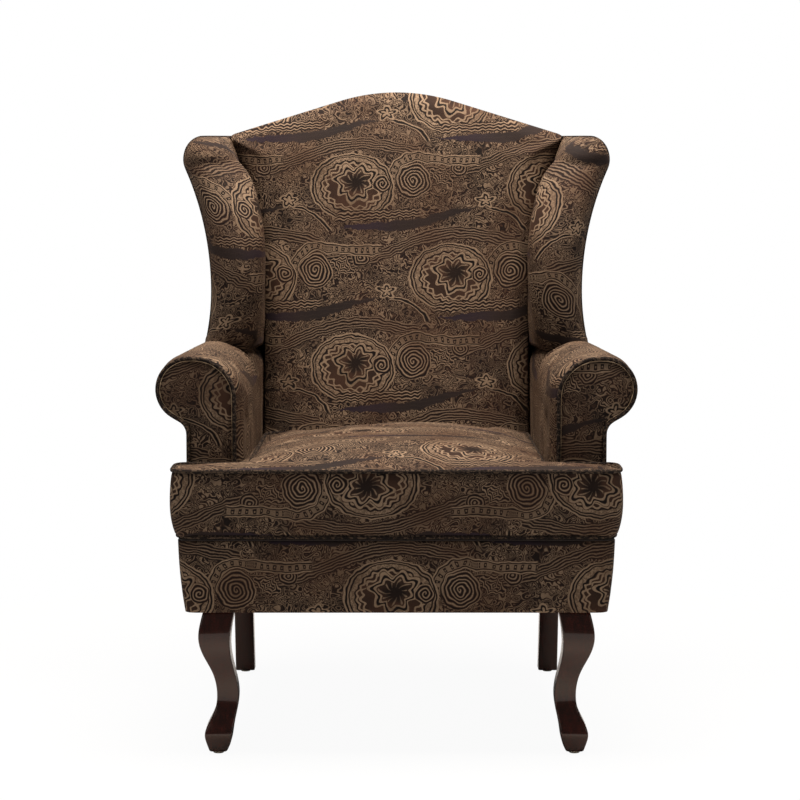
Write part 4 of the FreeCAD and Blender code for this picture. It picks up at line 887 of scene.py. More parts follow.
def sideHalf(y):
    front, rear, run = arm["neckHalf"]
    return blend(front, rear, (y - arm["front"]) / run)


def armValues(y):
    fullY = arm["front"] + arm["swell"]
    if y <= fullY:
        share = max((y - arm["front"]) / arm["swell"], 0.0)
        swell = math.sqrt(max(1.0 - (1.0 - share) ** 2, 0.0))
        return [blend(a, b, swell) for a, b in zip(arm["facing"], arm["full"])]
    share = (y - fullY) / (arm["rearY"] - fullY)
    return [blend(a, b, share) for a, b in zip(arm["full"], arm["rear"])]


# The arm's section in (x, z) from the inner foot over the roll to the outer foot
def armOutline(y, low, inset=0.0, values=None):
    inner, top, rollX, roll, shoulder, under = values or armValues(y)
    neck = sideHalf(y) - inset
    inner += inset
    top -= inset
    roll -= inset
    shoulder -= inset
    under += inset
    points = [(inner, low), (inner, top - shoulder)]
    points += arcPoints(inner + shoulder, top - shoulder, shoulder, 180.0, 90.0, 14)
    points += arcPoints(rollX, top - roll, roll, 90.0, -60.0, 20)
    turn = math.radians(60.0)
    leaveX = rollX + roll * math.cos(turn)
    leaveZ = top - roll - roll * math.sin(turn)
    meetX = neck + under * (1.0 - math.cos(turn))
    meetZ = leaveZ - (leaveX - meetX) / math.tan(turn)
    underZ = meetZ - under * math.sin(turn)
    points += arcPoints(neck + under, underZ, under, 120.0, 180.0, 8)
    points.append((neck, low))
    clean = [points[0]]
    for point in points[1:]:
        if math.dist(point, clean[-1]) > 1e-5:
            clean.append(point)
    return clean


# Height of the arm's top under the wing
def armTopZ(x, y):
    inner, top, rollX, roll, shoulder, under = armValues(y)
    x = min(max(x, inner + 0.0015), rollX + roll - 0.001)
    if x < inner + shoulder:
        return top - shoulder + math.sqrt(max(shoulder**2 - (inner + shoulder - x) ** 2, 0.0))
    if x > rollX:
        return top - roll + math.sqrt(max(roll**2 - (x - rollX) ** 2, 0.0))
    return top


# Inside back: front grid with a crown and rounded edges, then walls back to the outside sheet.
# A point lies at a share s of the half width and a share t of the height.
def backPoint(s, t):
    inset = backShape["inset"]
    radius = backShape["edgeRound"]
    x = s * (flareX(0.7) - inset)
    z = backShape["low"]
    for settle in range(14):  # width and height depend on each other
        z = blend(backShape["low"], crestZ(x) - inset, t)
        corner = ease(0.90, 1.0, t) * ease(0.90, 1.0, abs(s)) * 0.006
        x = s * (flareX(z) - inset - corner)
    z -= ease(0.92, 1.0, t) * ease(0.94, 1.0, abs(s)) * 0.003
    nearCrest = float(ease(0.93, 0.99, z))
    sideGap = (flareX(z) - inset - abs(x)) * blend(0.62, 0.96, nearCrest)
    edge = max(min(sideGap, (crestZ(x) - inset - z) * 0.96), 0.0)
    depth = 0.0
    if edge < radius:
        depth = radius - math.sqrt(max(radius**2 - (radius - edge) ** 2, 0.0))
        depth *= blend(1.9, 1.0, float(ease(0.92, 0.99, z)))
    crown = backShape["crown"] * float(ease(0.0, 0.13, edge))
    return (x, insideBackY(z) + 0.002 + depth - crown, z)


def buildBack():
    columns = backShape["columns"]
    rows = backShape["rows"]
    clothX, clothZ = backShape["clothFrom"]
    widest = math.sin(0.5 * math.pi * 0.92)
    shares = [math.sin((c / columns - 0.5) * math.pi * 0.92) / widest for c in range(columns + 1)]
    grid = []
    flat = []
    for r in range(rows + 1):
        t = 1.0 - (1.0 - r / rows) ** 1.12  # rows lie closer towards the crest
        line = [backPoint(share, t) for share in shares]
        grid.append(line)
        flat.append([(x + clothX, z - clothZ) for x, y, z in line])
    bm = bmesh.new()
    gridInto(bm, grid, flat)
    border = [(grid[r][0], flat[r][0], (-1, 0)) for r in range(rows)]
    border += [(grid[rows][c], flat[rows][c], (0, 1)) for c in range(columns + 1)]
    border += [(grid[r][columns], flat[r][columns], (1, 0)) for r in range(rows - 1, -1, -1)]
    wall = []
    wallFlat = []
    for k in range(backShape["wallSteps"] + 1):
        line = []
        lineFlat = []
        for (x, y, z), (u, v), (du, dv) in border:
            here = blend(y, paddingEndY(z), k / backShape["wallSteps"])
            line.append((x, here, z))
            lineFlat.append((u + du * (here - y), v + dv * (here - y)))
        wall.append(line)
        wallFlat.append(lineFlat)
    gridInto(bm, wall, wallFlat)
    weld(bm)
    piece = finishMesh("insideBack", bm, wrapCloth)
    low = backShape["low"]
    coords = pointsOf(piece)
    edgeGap = np.array([min(flareX(z) - abs(x), crestZ(x) - z, z - low) for x, y, z in coords])
    rear = np.array([outsideBackY(z) - y for x, y, z in coords])
    front = np.array([y - insideBackY(z) for x, y, z in coords])
    seams = (edgeGap < 0.004) & (front > 0.012) | (coords[:, 2] < low + 0.002)
    simulate(piece, (rear < 0.05) | seams, *backShape["puff"])
    return dress(piece, "chair_frame", "inside_back_cover", "back_pad", fill=0.85)


buildBack()
print("inside back done")


# Arms: the wrap runs up the inside, over the roll and under it to the neck, where the outside
# sheet takes over
def buildArmWrap(side, sign):
    first = arm["front"] + 0.0004
    middle = 0.50
    rearMiddle = paddingEndY(middle)
    stations = [first + step for step in (0.0, 0.0015, 0.004, 0.008, 0.013, 0.020, 0.028)]
    stations += list(np.linspace(arm["front"] + arm["swell"], rearMiddle, arm["sections"]))
    columns = arm["columns"]
    clothY, clothZ = arm["clothFrom"]
    shares = np.linspace(0, 1, columns)
    grid = []
    flat = []
    for y in stations:
        outline = armOutline(y, arm["low"])
        outline[-1] = (outline[-1][0], outline[-2][1] - 0.012)  # ends just under the roll
        line, marks = evenly(outline, 0.008)
        x = np.interp(shares, marks / marks[-1], line[:, 0])
        z = np.interp(shares, marks / marks[-1], line[:, 1])
        share = (y - first) / (rearMiddle - first)
        lean = np.array([outsideBackY(level) for level in z]) - outsideBackY(middle)
        reach = y + share**3 * lean
        grid.append([(sign * x[c], reach[c], z[c]) for c in range(columns)])
        rise = shares * marks[-1] + arm["low"]
        flat.append([(sign * (reach[c] + clothY), rise[c] - clothZ) for c in range(columns)])
    bm = bmesh.new()
    gridInto(bm, grid, flat)
    weld(bm)
    piece = finishMesh("armWrap_" + side, bm, wrapCloth)
    coords = pointsOf(piece)
    rear = np.array([outsideBackY(z) for z in coords[:, 2]]) - coords[:, 1]
    edge = coords[:, 1] < arm["front"] + 0.004
    foot = coords[:, 2] < arm["low"] + 0.002
    neck = (coords[:, 2] < 0.534) & (np.abs(coords[:, 0]) > 0.29)
    simulate(piece, edge | foot | neck | (rear < 0.02), *arm["puff"])
    return dress(piece, "chair_frame", "arm_cover_" + side, "arm_pad_" + side, fill=0.9)


def outsideArmTop(y):
    return armOutline(y, arm["low"])[-2][1] + 0.004


outsideArm = {
    "low": 0.2300,
    "thick": 0.0016,
    "hollow": 0.0016,
    "clothFrom": (0.03, 0.405),
    "columns": 60,
    "rows": 34,
    "tall": (0.305, 0.297),  # cut height of the cloth, and its mean
}


# Outside arm: cloth stretched from under the roll to the base
def buildOutsideArm(side, sign):
    columns = outsideArm["columns"]
    rows = outsideArm["rows"]
    clothY, clothZ = outsideArm["clothFrom"]
    bm = bmesh.new()
    layers = []
    for depth in (0.0, outsideArm["thick"]):
        grid = []
        flat = []
        for r in range(rows + 1):
            line = []
            for c in range(columns + 1):
                share = c / columns
                top = outsideArmTop(blend(arm["front"], 0.285, share))
                z = blend(outsideArm["low"], top, r / rows)
                y = blend(arm["front"] + 0.0008, paddingEndY(z), share)
                hollow = outsideArm["hollow"] * math.sin(math.pi * share) * math.sin(math.pi * r / rows)
                line.append((sign * (sideHalf(y) - depth - hollow), y, z))
            grid.append(line)
            flat.append([(sign * (y + clothY), z - clothZ) for x, y, z in line])
        layers.append((grid, flat))
        gridInto(bm, grid, flat)
    bmesh.ops.reverse_faces(bm, faces=bm.faces[-rows * columns :])
    outer, inner = layers
    for pick in (
        lambda grid: grid[0],
        lambda grid: grid[-1],
        lambda grid: [row[0] for row in grid],
        lambda grid: [row[-1] for row in grid],
    ):
        gridInto(bm, [pick(outer[0]), pick(inner[0])], [pick(outer[1]), pick(inner[1])])
    weld(bm, close=False)
    piece = finishMesh("outsideArm_" + side, bm, wrapCloth)
    dress(piece, "chair_frame", "outside_arm_cover_" + side)
    wide = outsideBackY(0.38) - arm["front"]
    tall, meanTall = outsideArm["tall"]
    wide * meanTall
    return piece


# Arm front: a padded scroll panel inside its piping
facing = {
    "plane": -0.2676,
    "bulge": 0.0030,
    "swellRun": 0.022,
    "behind": -0.2476,
    "low": 0.3458,
    "seam": 0.0032,
    "pipingY": -0.2653,
    "pipingRadius": 0.0032,
    "clothFrom": (0.063, 0.4005),
}


def facingOutline(inset, low):
    return armOutline(arm["front"], low, inset, arm["facing"])


def buildFacing(side, sign):
    ring = facingOutline(facing["seam"], facing["low"])
    line, marks = evenly(ring + [ring[0]], 0.007)
    outline = [(sign * x, z) for x, z in line[:-1]]
    edgeGap = gapRule(outline)
    clothX, clothZ = facing["clothFrom"]

    def face(x, z):
        swell = facing["bulge"] * float(ease(0.0, facing["swellRun"], edgeGap(x, z)))
        return (x, facing["plane"] - swell + facing["bulge"], z)

    bm = bmesh.new()
    panelInto(bm, outline, 0.008, face, lambda x, z: (x + clothX, z - clothZ))
    rim = [(x, facing["plane"] + facing["bulge"], z) for x, z in outline]
    rim.append(rim[0])
    behind = [(x, facing["behind"], z) for x, y, z in rim]
    flat = [(x + clothX, z - clothZ) for x, y, z in rim]
    gridInto(bm, [rim, behind], [flat, flat])
    weld(bm)
    piece = finishMesh("armFacing_" + side, bm, wrapCloth)
    dress(piece, "chair_frame", "arm_facing_cover_" + side, fill=0.8)
    path = evenly(facingOutline(0.0, facing["low"]), lineSpacing)[0]
    points = [(sign * x, facing["pipingY"], z) for x, z in path[:-2]]
    welt = ["arm_facing_welt_" + side]
    piping("armPiping_" + side, points, facing["pipingRadius"], False, "chair_frame", welt)
    return piece


for side, sign in sides:
    buildArmWrap(side, sign)
    buildOutsideArm(side, sign)
    buildFacing(side, sign)
print("arms done")


# Wings: sections in plan from the arm's top to a dome
wing = {
    "top": 0.968,
    "domeStart": 0.922,
    "root": 0.585,
    # height of the waist, place there, and the bow's radius below and above it
    "inner": (0.765, 0.2235, 0.735, 0.355),
    "outer": (0.710, 0.313, 0.377, 0.460),
    "front": (0.725, 0.008, 0.791, 0.335),
    "rearThick": (0.062, 0.038),
    "outerDome": 0.040,
    "innerDome": 0.078,
    "footLevel": 0.640,
    "low": 0.603,
    "dense": 0.885,  # above it the levels close up towards the top
    "runToRear": 0.420,
    "clothFrom": (0.168, 0.839),
    "columns": 110,
    "puff": (1.8, 0.0028),
    "pipingRadius": 0.0031,
    "pipingStart": 0.632,
}


def bow(level, middle, base, radiusLow, radiusHigh):
    rise = level - middle
    radius = radiusHigh if rise > 0 else radiusLow
    return base + radius - math.sqrt(radius**2 - rise**2)


def domeShare(z, height):
    share = np.clip((z - wing["top"] + height) / height, 0.0, 0.998)
    return math.sqrt(1.0 - share**2)


def wingValues(z):
    level = min(z, wing["domeStart"])
    inner = bow(min(z, wing["top"] - wing["innerDome"] * 0.5), *wing["inner"])
    outer = bow(level, *wing["outer"])
    front = bow(level, *wing["front"])
    rearInner = flareX(min(z, wing["top"])) + 0.001 - 0.010 * float(ease(0.90, 0.96, z))
    share = (level - wing["root"]) / (wing["top"] - wing["root"])
    rearOuter = rearInner + blend(*wing["rearThick"], share)
    apex = blend(outer, inner, 0.36)
    outer = blend(apex, outer, domeShare(z, wing["outerDome"]) ** 0.8)
    inner = blend(apex, inner, domeShare(z, wing["innerDome"]) ** 1.1)
    front += (1.0 - domeShare(z, wing["outerDome"])) * 0.055
    rearOuter = blend(rearInner, rearOuter, domeShare(z, wing["outerDome"]))
    foot = np.clip((wing["footLevel"] - z) / 0.030, 0.0, 1.0)
    inner += 0.013 * (1.0 - math.sqrt(1.0 - foot**2))
    return inner, outer, front, rearInner, rearOuter


# Section of the wing in plan from the inner rear round the nose to the outer rear
def wingOutline(z, count):
    inner, outer, front, rearInner, rearOuter = wingValues(z)
    radius = (outer - inner) / 2.0 - 0.001
    knee = insideBackY(min(z, wing["domeStart"])) - 0.003
    rear = paddingEndY(z)
    span = (rear - front) / (wing["runToRear"] - front)
    points = [(rearInner, rear), (blend(rearInner, inner, 0.02), knee)]  # close along the back
    points += arcPoints(inner + radius, front + radius, radius, 180.0, 270.0, 8)
    points += arcPoints(outer - radius, front + radius, radius, 270.0, 360.0, 8)
    points.append((blend(outer, rearOuter, span), rear))
    line, marks = evenly(points, lineSpacing)
    shares = np.linspace(0, 1, count)
    x = np.interp(shares, marks / marks[-1], line[:, 0])
    y = np.interp(shares, marks / marks[-1], line[:, 1])
    nose = np.hypot(points[1][0] - points[0][0], points[1][1] - points[0][1])
    return x, y, shares * marks[-1] - nose


def buildWing(side, sign):
    columns = wing["columns"]
    clothX, clothZ = wing["clothFrom"]
    levels = list(np.linspace(wing["low"], wing["dense"], 52))
    turns = np.linspace(0, math.pi / 2, 26)[1:]
    levels += [blend(wing["dense"], wing["top"], math.sin(t)) for t in turns]
    footRows = 26  # these bend to sit on the arm
    grid = []
    flat = []
    for row, z in enumerate(levels):
        x, y, along = wingOutline(z, columns)
        line = []
        for c in range(columns):
            level = z
            if row < footRows:
                seat = max(armTopZ(x[c], y[c]) - 0.004, wing["low"])
                level = blend(seat, levels[footRows], row / footRows)
            line.append((sign * x[c], y[c], level))
        grid.append(line)
        flat.append([(sign * (clothX - along[c]), line[c][2] - clothZ) for c in range(columns)])
    bm = bmesh.new()
    gridInto(bm, grid, flat)
    weld(bm)
    piece = finishMesh("wing_" + side, bm, wrapCloth)
    coords = pointsOf(piece)
    rear = np.array([outsideBackY(z) for z in coords[:, 2]]) - coords[:, 1]
    low = np.array([z - armTopZ(abs(x), y) for x, y, z in coords])
    pinned = (rear < 0.012) | (low < 0.004) | (coords[:, 2] > wing["top"] - 0.004)
    simulate(piece, pinned, *wing["puff"])
    return dress(piece, "chair_frame", "wing_cover_" + side, "wing_pad_" + side, fill=0.85)


# Piping up the wing's outer front edge and back along its top
def buildWingPiping(side, sign):
    start = wing["domeStart"]
    levels = list(np.linspace(wing["pipingStart"], start, 60))
    levels += [blend(start, wing["top"], s) for s in (0.2, 0.35, 0.5, 0.65, 0.78, 0.88, 0.94, 0.98)]
    points = []
    for z in levels:
        inner, outer, front, rearInner, rearOuter = wingValues(z)
        radius = (outer - inner) / 2.0 - 0.001
        points.append((outer - 0.0006, front + radius * 0.96, z))
    x, y, z = points[-1]
    rearX = wingValues(wing["top"])[4] - 0.008
    for share in (0.25, 0.5, 0.75, 0.9):
        points.append((blend(x, rearX, share), blend(y, 0.302, share), wing["top"] - 0.0006))
    smooth = evenly(points, lineSpacing)[0]
    for times in range(6):
        smooth[1:-1] = (smooth[:-2] + smooth[1:-1] * 2 + smooth[2:]) / 4
    points = [(sign * x, y, z) for x, y, z in smooth]
    welt = ["wing_welt_" + side]
    piping("wingPiping_" + side, points, wing["pipingRadius"], False, "chair_frame", welt)


for side, sign in sides:
    buildWing(side, sign)
    buildWingPiping(side, sign)
print("wings done")


# Outside back: cloth stretched over the whole back
outsideBack = {
    "halfLow": 0.294,
    "low": 0.2300,
    "armFoot": 0.560,
    "armHalf": 0.3255,
    "armSection": 0.300,  # the arm's outline is taken at this depth
    "wingLow": 0.640,
    "corner": ((0.2905, 0.9660), (0.2850, 0.9705)),
    "crestHalf": 0.26,
    "crestDrop": 0.0042,
    "thick": 0.0016,
    "clothFrom": (0.10, 0.640),
}


def outsideBackRing():
    armFoot = outsideBack["armFoot"]
    half = [(outsideBack["halfLow"], outsideBack["low"]), (outsideBack["halfLow"], armFoot)]
    for x, z in reversed(armOutline(outsideBack["armSection"], armFoot)[15:-2]):
        x = min(x, outsideBack["armHalf"]) - 0.0015
        if x > 0.300:
            half.append((x, z - 0.0015))
    for z in np.linspace(outsideBack["wingLow"], wing["domeStart"], 12):
        inner, outer, front, rearInner, rearOuter = wingValues(z)
        share = (outsideBackY(z) - front) / (wing["runToRear"] - front)
        half.append((blend(outer, rearOuter, share) - 0.002, z))
    half += outsideBack["corner"]
    for x in np.linspace(outsideBack["crestHalf"], 0.0, 22):
        half.append((x, crestZ(x) - outsideBack["crestDrop"]))
    ring = half + [(-x, z) for x, z in reversed(half[:-1])]
    ring.append(ring[0])
    return [tuple(p) for p in evenly(ring, 0.010)[0][:-1]]


def buildOutsideBack():
    ring = outsideBackRing()
    thick = outsideBack["thick"]
    clothX, clothZ = outsideBack["clothFrom"]
    flatRule = lambda x, z: (clothX - x, z - clothZ)
    bm = bmesh.new()
    for depth in (0.0, thick):
        panelInto(bm, ring, 0.014, lambda x, z: (x, outsideBackY(z) - depth, z), flatRule)
    outer = [(x, outsideBackY(z), z) for x, z in ring + ring[:1]]
    inner = [(x, y - thick, z) for x, y, z in outer]
    flat = [flatRule(x, z) for x, y, z in outer]
    gridInto(bm, [outer, inner], [flat, flat])
    weld(bm, close=False)
    piece = finishMesh("outsideBack", bm, wrapCloth)
    dress(piece, "chair_frame", "outside_back_cover")
    return piece


buildOutsideBack()
print("outside back done")


# Loose T cushion
cushion = {
    "low": 0.3454,
    "thick": 0.1068,
    "crown": 0.0335,
    "crownHalf": 0.245,
    "earCrown": 0.0165,
    "earCrownHalf": 0.345,
    "front": -0.3735,
    "earHalf": 0.3525,
    "earRear": -0.2740,
    "halfFront": 0.2365,
    "halfRear": 0.2315,
    "rearGap": 0.0165,
    "backLevel": 0.402,  # where the boxing meets the back's rake
    "seams": (0.0115, 0.0045),  # how far the low and the top seam draw in
    "welt": 0.0034,
    "rows": 13,
    "boxingFrom": (0.3250, 0.4385),
    "topFrom": (0.062, 0.130),
    "puff": (3.2, 0.0038),
}


def cushionRing(inset):
    rear = insideBackY(cushion["backLevel"]) - cushion["rearGap"] - inset
    front = cushion["front"] + inset
    earRear = cushion["earRear"] - inset
    earHalf = cushion["earHalf"] - inset
    halfFront = cushion["halfFront"] - inset
    halfRear = cushion["halfRear"] - inset
    corners = [
        (-earHalf, front, 0.020),
        (earHalf, front, 0.020),
        (earHalf, earRear, 0.013),
        (halfFront, earRear, 0.011),
        (halfRear, rear, 0.020),
        (-halfRear, rear, 0.020),
        (-halfFront, earRear, 0.011),
        (-earHalf, earRear, 0.013),
    ]
    return roundedOutline(corners, 0.0085)


# Boxing between the two seams: it stands out between them and leans back with the chair's back
def cushionBoxing(low, high):
    ring, marks = cushionRing(0.0)
    count = len(ring)
    shares = marks[:-1] / marks[-1]
    seams = []
    for inset in cushion["seams"]:
        seamRing, seamMarks = cushionRing(inset)
        closed = np.vstack([seamRing, seamRing[:1]])
        matched = [np.interp(shares, seamMarks / seamMarks[-1], closed[:, k]) for k in (0, 1)]
        seams.append(np.stack(matched, 1))
    rows = cushion["rows"]
    lean = math.tan(backShape["front"][2])
    flatLength, flatTop = cushion["boxingFrom"]
    grid = []
    flat = []
    for r in range(rows + 1):
        share = r / rows
        z = blend(low, high, share)
        keep = math.sin(math.pi * share) ** 0.6
        matched = seams[0] if share < 0.5 else seams[1]
        line = []
        for i in list(range(count)) + [0]:
            x, y = matched[i] + (ring[i] - matched[i]) * keep
            y += 0.004 * (1.0 - share) * float(ease(-0.30, -0.36, y))
            y += float(ease(-0.10, 0.10, y)) * (z - cushion["backLevel"]) * lean
            line.append((x, y, z))
        grid.append(line)
        flat.append([(flatLength - length, flatTop - z) for length in marks])
    return grid, flat


def buildCushion():
    low = cushion["low"] + 0.0005
    high = cushion["low"] + cushion["thick"]
    grid, flat = cushionBoxing(low, high)
    bm = bmesh.new()
    gridInto(bm, grid, flat)
    outline = [(x, y) for x, y, z in grid[-1][:-1]]
    edgeGap = gapRule(outline)
    clothX, clothY = cushion["topFrom"]

    def crown(x, y):
        across = 1.0 - min(abs(x) / cushion["crownHalf"], 1.0) ** 2.4
        rearShare = float(ease(0.18, -0.05, y)) * 0.45 + 0.55
        frontShare = float(ease(-0.40, -0.22, y)) * 0.80 + 0.20
        main = cushion["crown"] * across * rearShare * frontShare
        ear = cushion["earCrown"] * float(ease(-0.38, -0.29, y))
        rise = max(main, ear * (1.0 - min(abs(x) / cushion["earCrownHalf"], 1.0) ** 6))
        return (x, y, high + rise * float(ease(-0.006, 0.055, edgeGap(x, y))) - 0.0002)

    panelInto(bm, outline, 0.0085, crown, lambda x, y: (x + clothX, y + clothY))
    under = [(x, y) for x, y, z in grid[0][:-1]]
    panelInto(bm, under, 0.014, lambda x, y: (x, y, low), lambda x, y: (x, y + 0.5))
    weld(bm)
    piece = finishMesh("seatCushion", bm, wrapCloth)
    coords = pointsOf(piece)
    rims = {tuple(np.round(p, 5)) for p in grid[-1] + grid[0]}
    seams = np.array([tuple(np.round(point, 5)) in rims for point in coords])
    simulate(piece, seams | (coords[:, 2] < low + 0.002), *cushion["puff"])
    dress(piece, "seat_cushion", "cushion_cover", "cushion_foam", fill=0.8)
    return grid[-1], grid[0]


topSeam, lowSeam = buildCushion()


# The seam's own outline moved outward, smoothed, as the line for its piping
def seamPath(seam, outward, z):
    points = np.array(seam)[:-1]
    before = np.roll(points, 1, axis=0)
    after = np.roll(points, -1, axis=0)
    run = (after - before)[:, :2]
    run /= np.linalg.norm(run, axis=1, keepdims=True)
    moved = points.copy()
    moved[:, 0] += run[:, 1] * outward
    moved[:, 1] -= run[:, 0] * outward
    moved[:, 2] = z
    for times in range(2):
        moved = (np.roll(moved, 1, axis=0) + moved * 2 + np.roll(moved, -1, axis=0)) / 4
    return moved


topPath = seamPath(topSeam, 0.0012, cushion["low"] + cushion["thick"] + 0.0006)
lowPath = seamPath(lowSeam, 0.0012, cushion["low"] + cushion["welt"] + 0.0002)
piping("cushionPipingTop", topPath, cushion["welt"], True, "seat_cushion", ["cushion_top_welt"])
piping("cushionPipingLow", lowPath, cushion["welt"], True, "seat_cushion", ["cushion_bottom_welt"])
print("cushion done")


# Front apron: a padded band round both front corners
apron = {
    "low": 0.2303,
    "high": 0.3425,
    "front": -0.375,
    "setback": 0.013,
    "halfLow": 0.3302,
    "halfHigh": 0.3410,
    "corner": 0.016,
    "end": -0.2655,
    "swell": 0.0022,
    "thick": 0.0085,
    "columns": 132,
    "rows": 15,
    "clothFrom": (0.008, 0.2545),
}


def buildApron():
    rows = apron["rows"]
    front = apron["front"] + apron["setback"]
    radius = apron["corner"]
    end = apron["end"]
    clothX, clothZ = apron["clothFrom"]
    places = np.linspace(0, 1, apron["columns"])
    grid = []
    flat = []
    for r in range(rows + 1):
        share = r / rows
        half = blend(apron["halfLow"], apron["halfHigh"], share)
        swell = apron["swell"] * math.sin(math.pi * share)
        points = [(-half - swell, end)]
        points += arcPoints(-half + radius, front + radius, radius + swell, 180.0, 270.0, 7)
        points += arcPoints(half - radius, front + radius, radius + swell, 270.0, 360.0, 7)
        points.append((half + swell, end))
        line, marks = evenly(points, 0.007)
        x = np.interp(places, marks / marks[-1], line[:, 0])
        y = np.interp(places, marks / marks[-1], line[:, 1])
        z = blend(apron["low"], apron["high"], share)
        grid.append([(a, b, z) for a, b in zip(x, y)])
        flat.append([((p - 0.5) * marks[-1] + clothX, z - clothZ) for p in places])
    bm = bmesh.new()
    gridInto(bm, grid, flat)
    inner = [[(x * 0.935, min(y + apron["thick"], end), z) for x, y, z in row] for row in grid]
    gridInto(bm, inner[::-1], flat)
    for outer, inside, uv in ((grid[0], inner[0], flat[0]), (grid[-1], inner[-1], flat[-1])):
        gridInto(bm, [outer, inside], [uv, uv])
    for end in (0, -1):
        line = [row[end] for row in grid]
        back = [row[end] for row in inner]
        gridInto(bm, [line, back], [[f[end] for f in flat]] * 2)
    weld(bm)
    piece = finishMesh("apron", bm, wrapCloth)
    return dress(piece, "chair_frame", "apron_cover", "apron_pad", fill=0.9)


buildApron()


# Seat deck under the cushion and dust cover under the frame
def slabPiece(name, ring, low, high, material):
    bm = bmesh.new()
    flatRule = lambda x, y: (x, y)
    panelInto(bm, ring, 0.022, lambda x, y: (x, y, high), flatRule)
    panelInto(bm, ring, 0.022, lambda x, y: (x, y, low), flatRule)
    loop = list(ring) + [ring[0]]
    top = [(x, y, high) for x, y in loop]
    bottom = [(x, y, low) for x, y in loop]
    gridInto(bm, [top, bottom], [loop, loop])
    weld(bm, close=False)
    return finishMesh(name, bm, material, smooth=False)


deckRing = roundedOutline(
    [
        (-0.3395, -0.3600, 0.012),
        (0.3395, -0.3600, 0.012),
        (0.3395, -0.2665, 0.004),
        (0.2350, -0.2665, 0.004),
        (0.2350, 0.1380, 0.006),
        (-0.2350, 0.1380, 0.006),
        (-0.2350, -0.2665, 0.004),
        (-0.3395, -0.2665, 0.004),
    ],
    0.012,
)[0]
deck = slabPiece("seatDeck", [tuple(p) for p in deckRing], 0.3432, 0.3449, deckCloth)
dress(deck, "chair_frame", "deck_cover", fill=0.9, slotName="deck_cloth")


dustRing = [
    (-0.2480, -0.3515),
    (0.2480, -0.3515),
    (0.2480, -0.2915),
    (0.3115, -0.2915),
    (0.2920, 0.2085),
    (0.2560, 0.2085),
    (0.2560, 0.2645),
    (-0.2560, 0.2645),
    (-0.2560, 0.2085),
    (-0.2920, 0.2085),
    (-0.3115, -0.2915),
    (-0.2480, -0.2915),
]
dust = slabPiece("dustCover", dustRing, 0.2321, 0.2331, dustCloth)
dress(dust, "chair_frame", "dust_cover", slotName="dust_cloth")
print("seat deck and dust cover done")


# Legs: rings of rounded squares that follow the sawn outline
legEdge = 0.0028
legFoot = (0.004, 0.0048)  # the foot's edge is eased between these heights
legTop = 0.2334
frontLeg = {
    "z": (0.004, 0.018, 0.034, 0.046, 0.069, 0.094, 0.130, 0.163, 0.188, 0.212, 0.2334),
    "outer": (0.2945, 0.2990, 0.3014, 0.2975, 0.2865, 0.2830, 0.2900, 0.3045, 0.3100, 0.3070, 0.3015),
    "inner": (0.2675, 0.2612, 0.2580, 0.2562, 0.2515, 0.2490, 0.2545, 0.2602, 0.2605, 0.2570, 0.2525),
    "toFront": 0.045,  # the same outline, this much farther from the middle, shapes it from the side
}
rearLeg = {"inner": 0.258, "outer": 0.292, "top": 0.212, "foot": 0.270, "thick": 0.034}


def naturalSpline(knots, values, places):
    knots = np.array(knots, float)
    values = np.array(values, float)
    count = len(knots)
    step = np.diff(knots)
    matrix = np.zeros((count, count))
    right = np.zeros(count)
    matrix[0, 0] = matrix[-1, -1] = 1.0
    for i in range(1, count - 1):
        matrix[i, i - 1 : i + 2] = (step[i - 1], 2 * (step[i - 1] + step[i]), step[i])
        slope = (values[i + 1] - values[i]) / step[i] - (values[i] - values[i - 1]) / step[i - 1]
        right[i] = 6 * slope
    bend = np.linalg.solve(matrix, right)
    result = []
    for place in places:
        i = int(np.clip(np.searchsorted(knots, place) - 1, 0, count - 2))
        a = knots[i + 1] - place
        b = place - knots[i]
        h = step[i]
        value = (bend[i] * a**3 + bend[i + 1] * b**3) / (6 * h)
        value += (values[i] / h - bend[i] * h / 6) * a + (values[i + 1] / h - bend[i + 1] * h / 6) * b
        result.append(value)
    return np.array(result)


def squareRing(x0, x1, y0, y1, z):
    edge = legEdge
    points = []
    for cx, cy, start in (
        (x1 - edge, y1 - edge, 0.0),
        (x0 + edge, y1 - edge, 90.0),
        (x0 + edge, y0 + edge, 180.0),
        (x1 - edge, y0 + edge, 270.0),
    ):
        points += [(x, y, z) for x, y in arcPoints(cx, cy, edge, start, start + 90.0, 5)]
    return points


def ringsInto(bm, rings):
    verts = [[bm.verts.new(p) for p in ring] for ring in rings]
    count = len(rings[0])
    for low, high in zip(verts[:-1], verts[1:]):
        for i in range(count):
            j = (i + 1) % count
            bm.faces.new((low[i], low[j], high[j], high[i]))
    bm.faces.new(list(reversed(verts[0])))
    bm.faces.new(verts[-1])


def legPiece(name, rings, sign, node):
    bm = bmesh.new()
    ringsInto(bm, [[(sign * x, y, z) for x, y, z in ring] for ring in rings])
    piece = finishMesh(name, bm, darkLacquer)
    mesh = piece.data
    mesh.polygons.foreach_set("use_smooth", [len(p.vertices) == 4 for p in mesh.polygons])
    return dress(piece, "chair_frame", node, slotName="dark_lacquered_wood")


def buildFrontLeg(side, sign):
    levels = np.r_[legFoot, np.linspace(0.006, legTop, 76)]
    outer = naturalSpline(frontLeg["z"], frontLeg["outer"], levels)
    inner = naturalSpline(frontLeg["z"], frontLeg["inner"], levels)
    toFront = frontLeg["toFront"]
    rings = []
    for z, wide, near in zip(levels, outer, inner):
        drop = 0.0012 if z < 0.0045 else 0.0004 if z < 0.005 else 0.0
        y0, y1 = -(wide + toFront) + drop, -(near + toFront) - drop
        rings.append(squareRing(near + drop, wide - drop, y0, y1, z))
    return legPiece("frontLeg_" + side, rings, sign, "front_leg_" + side)


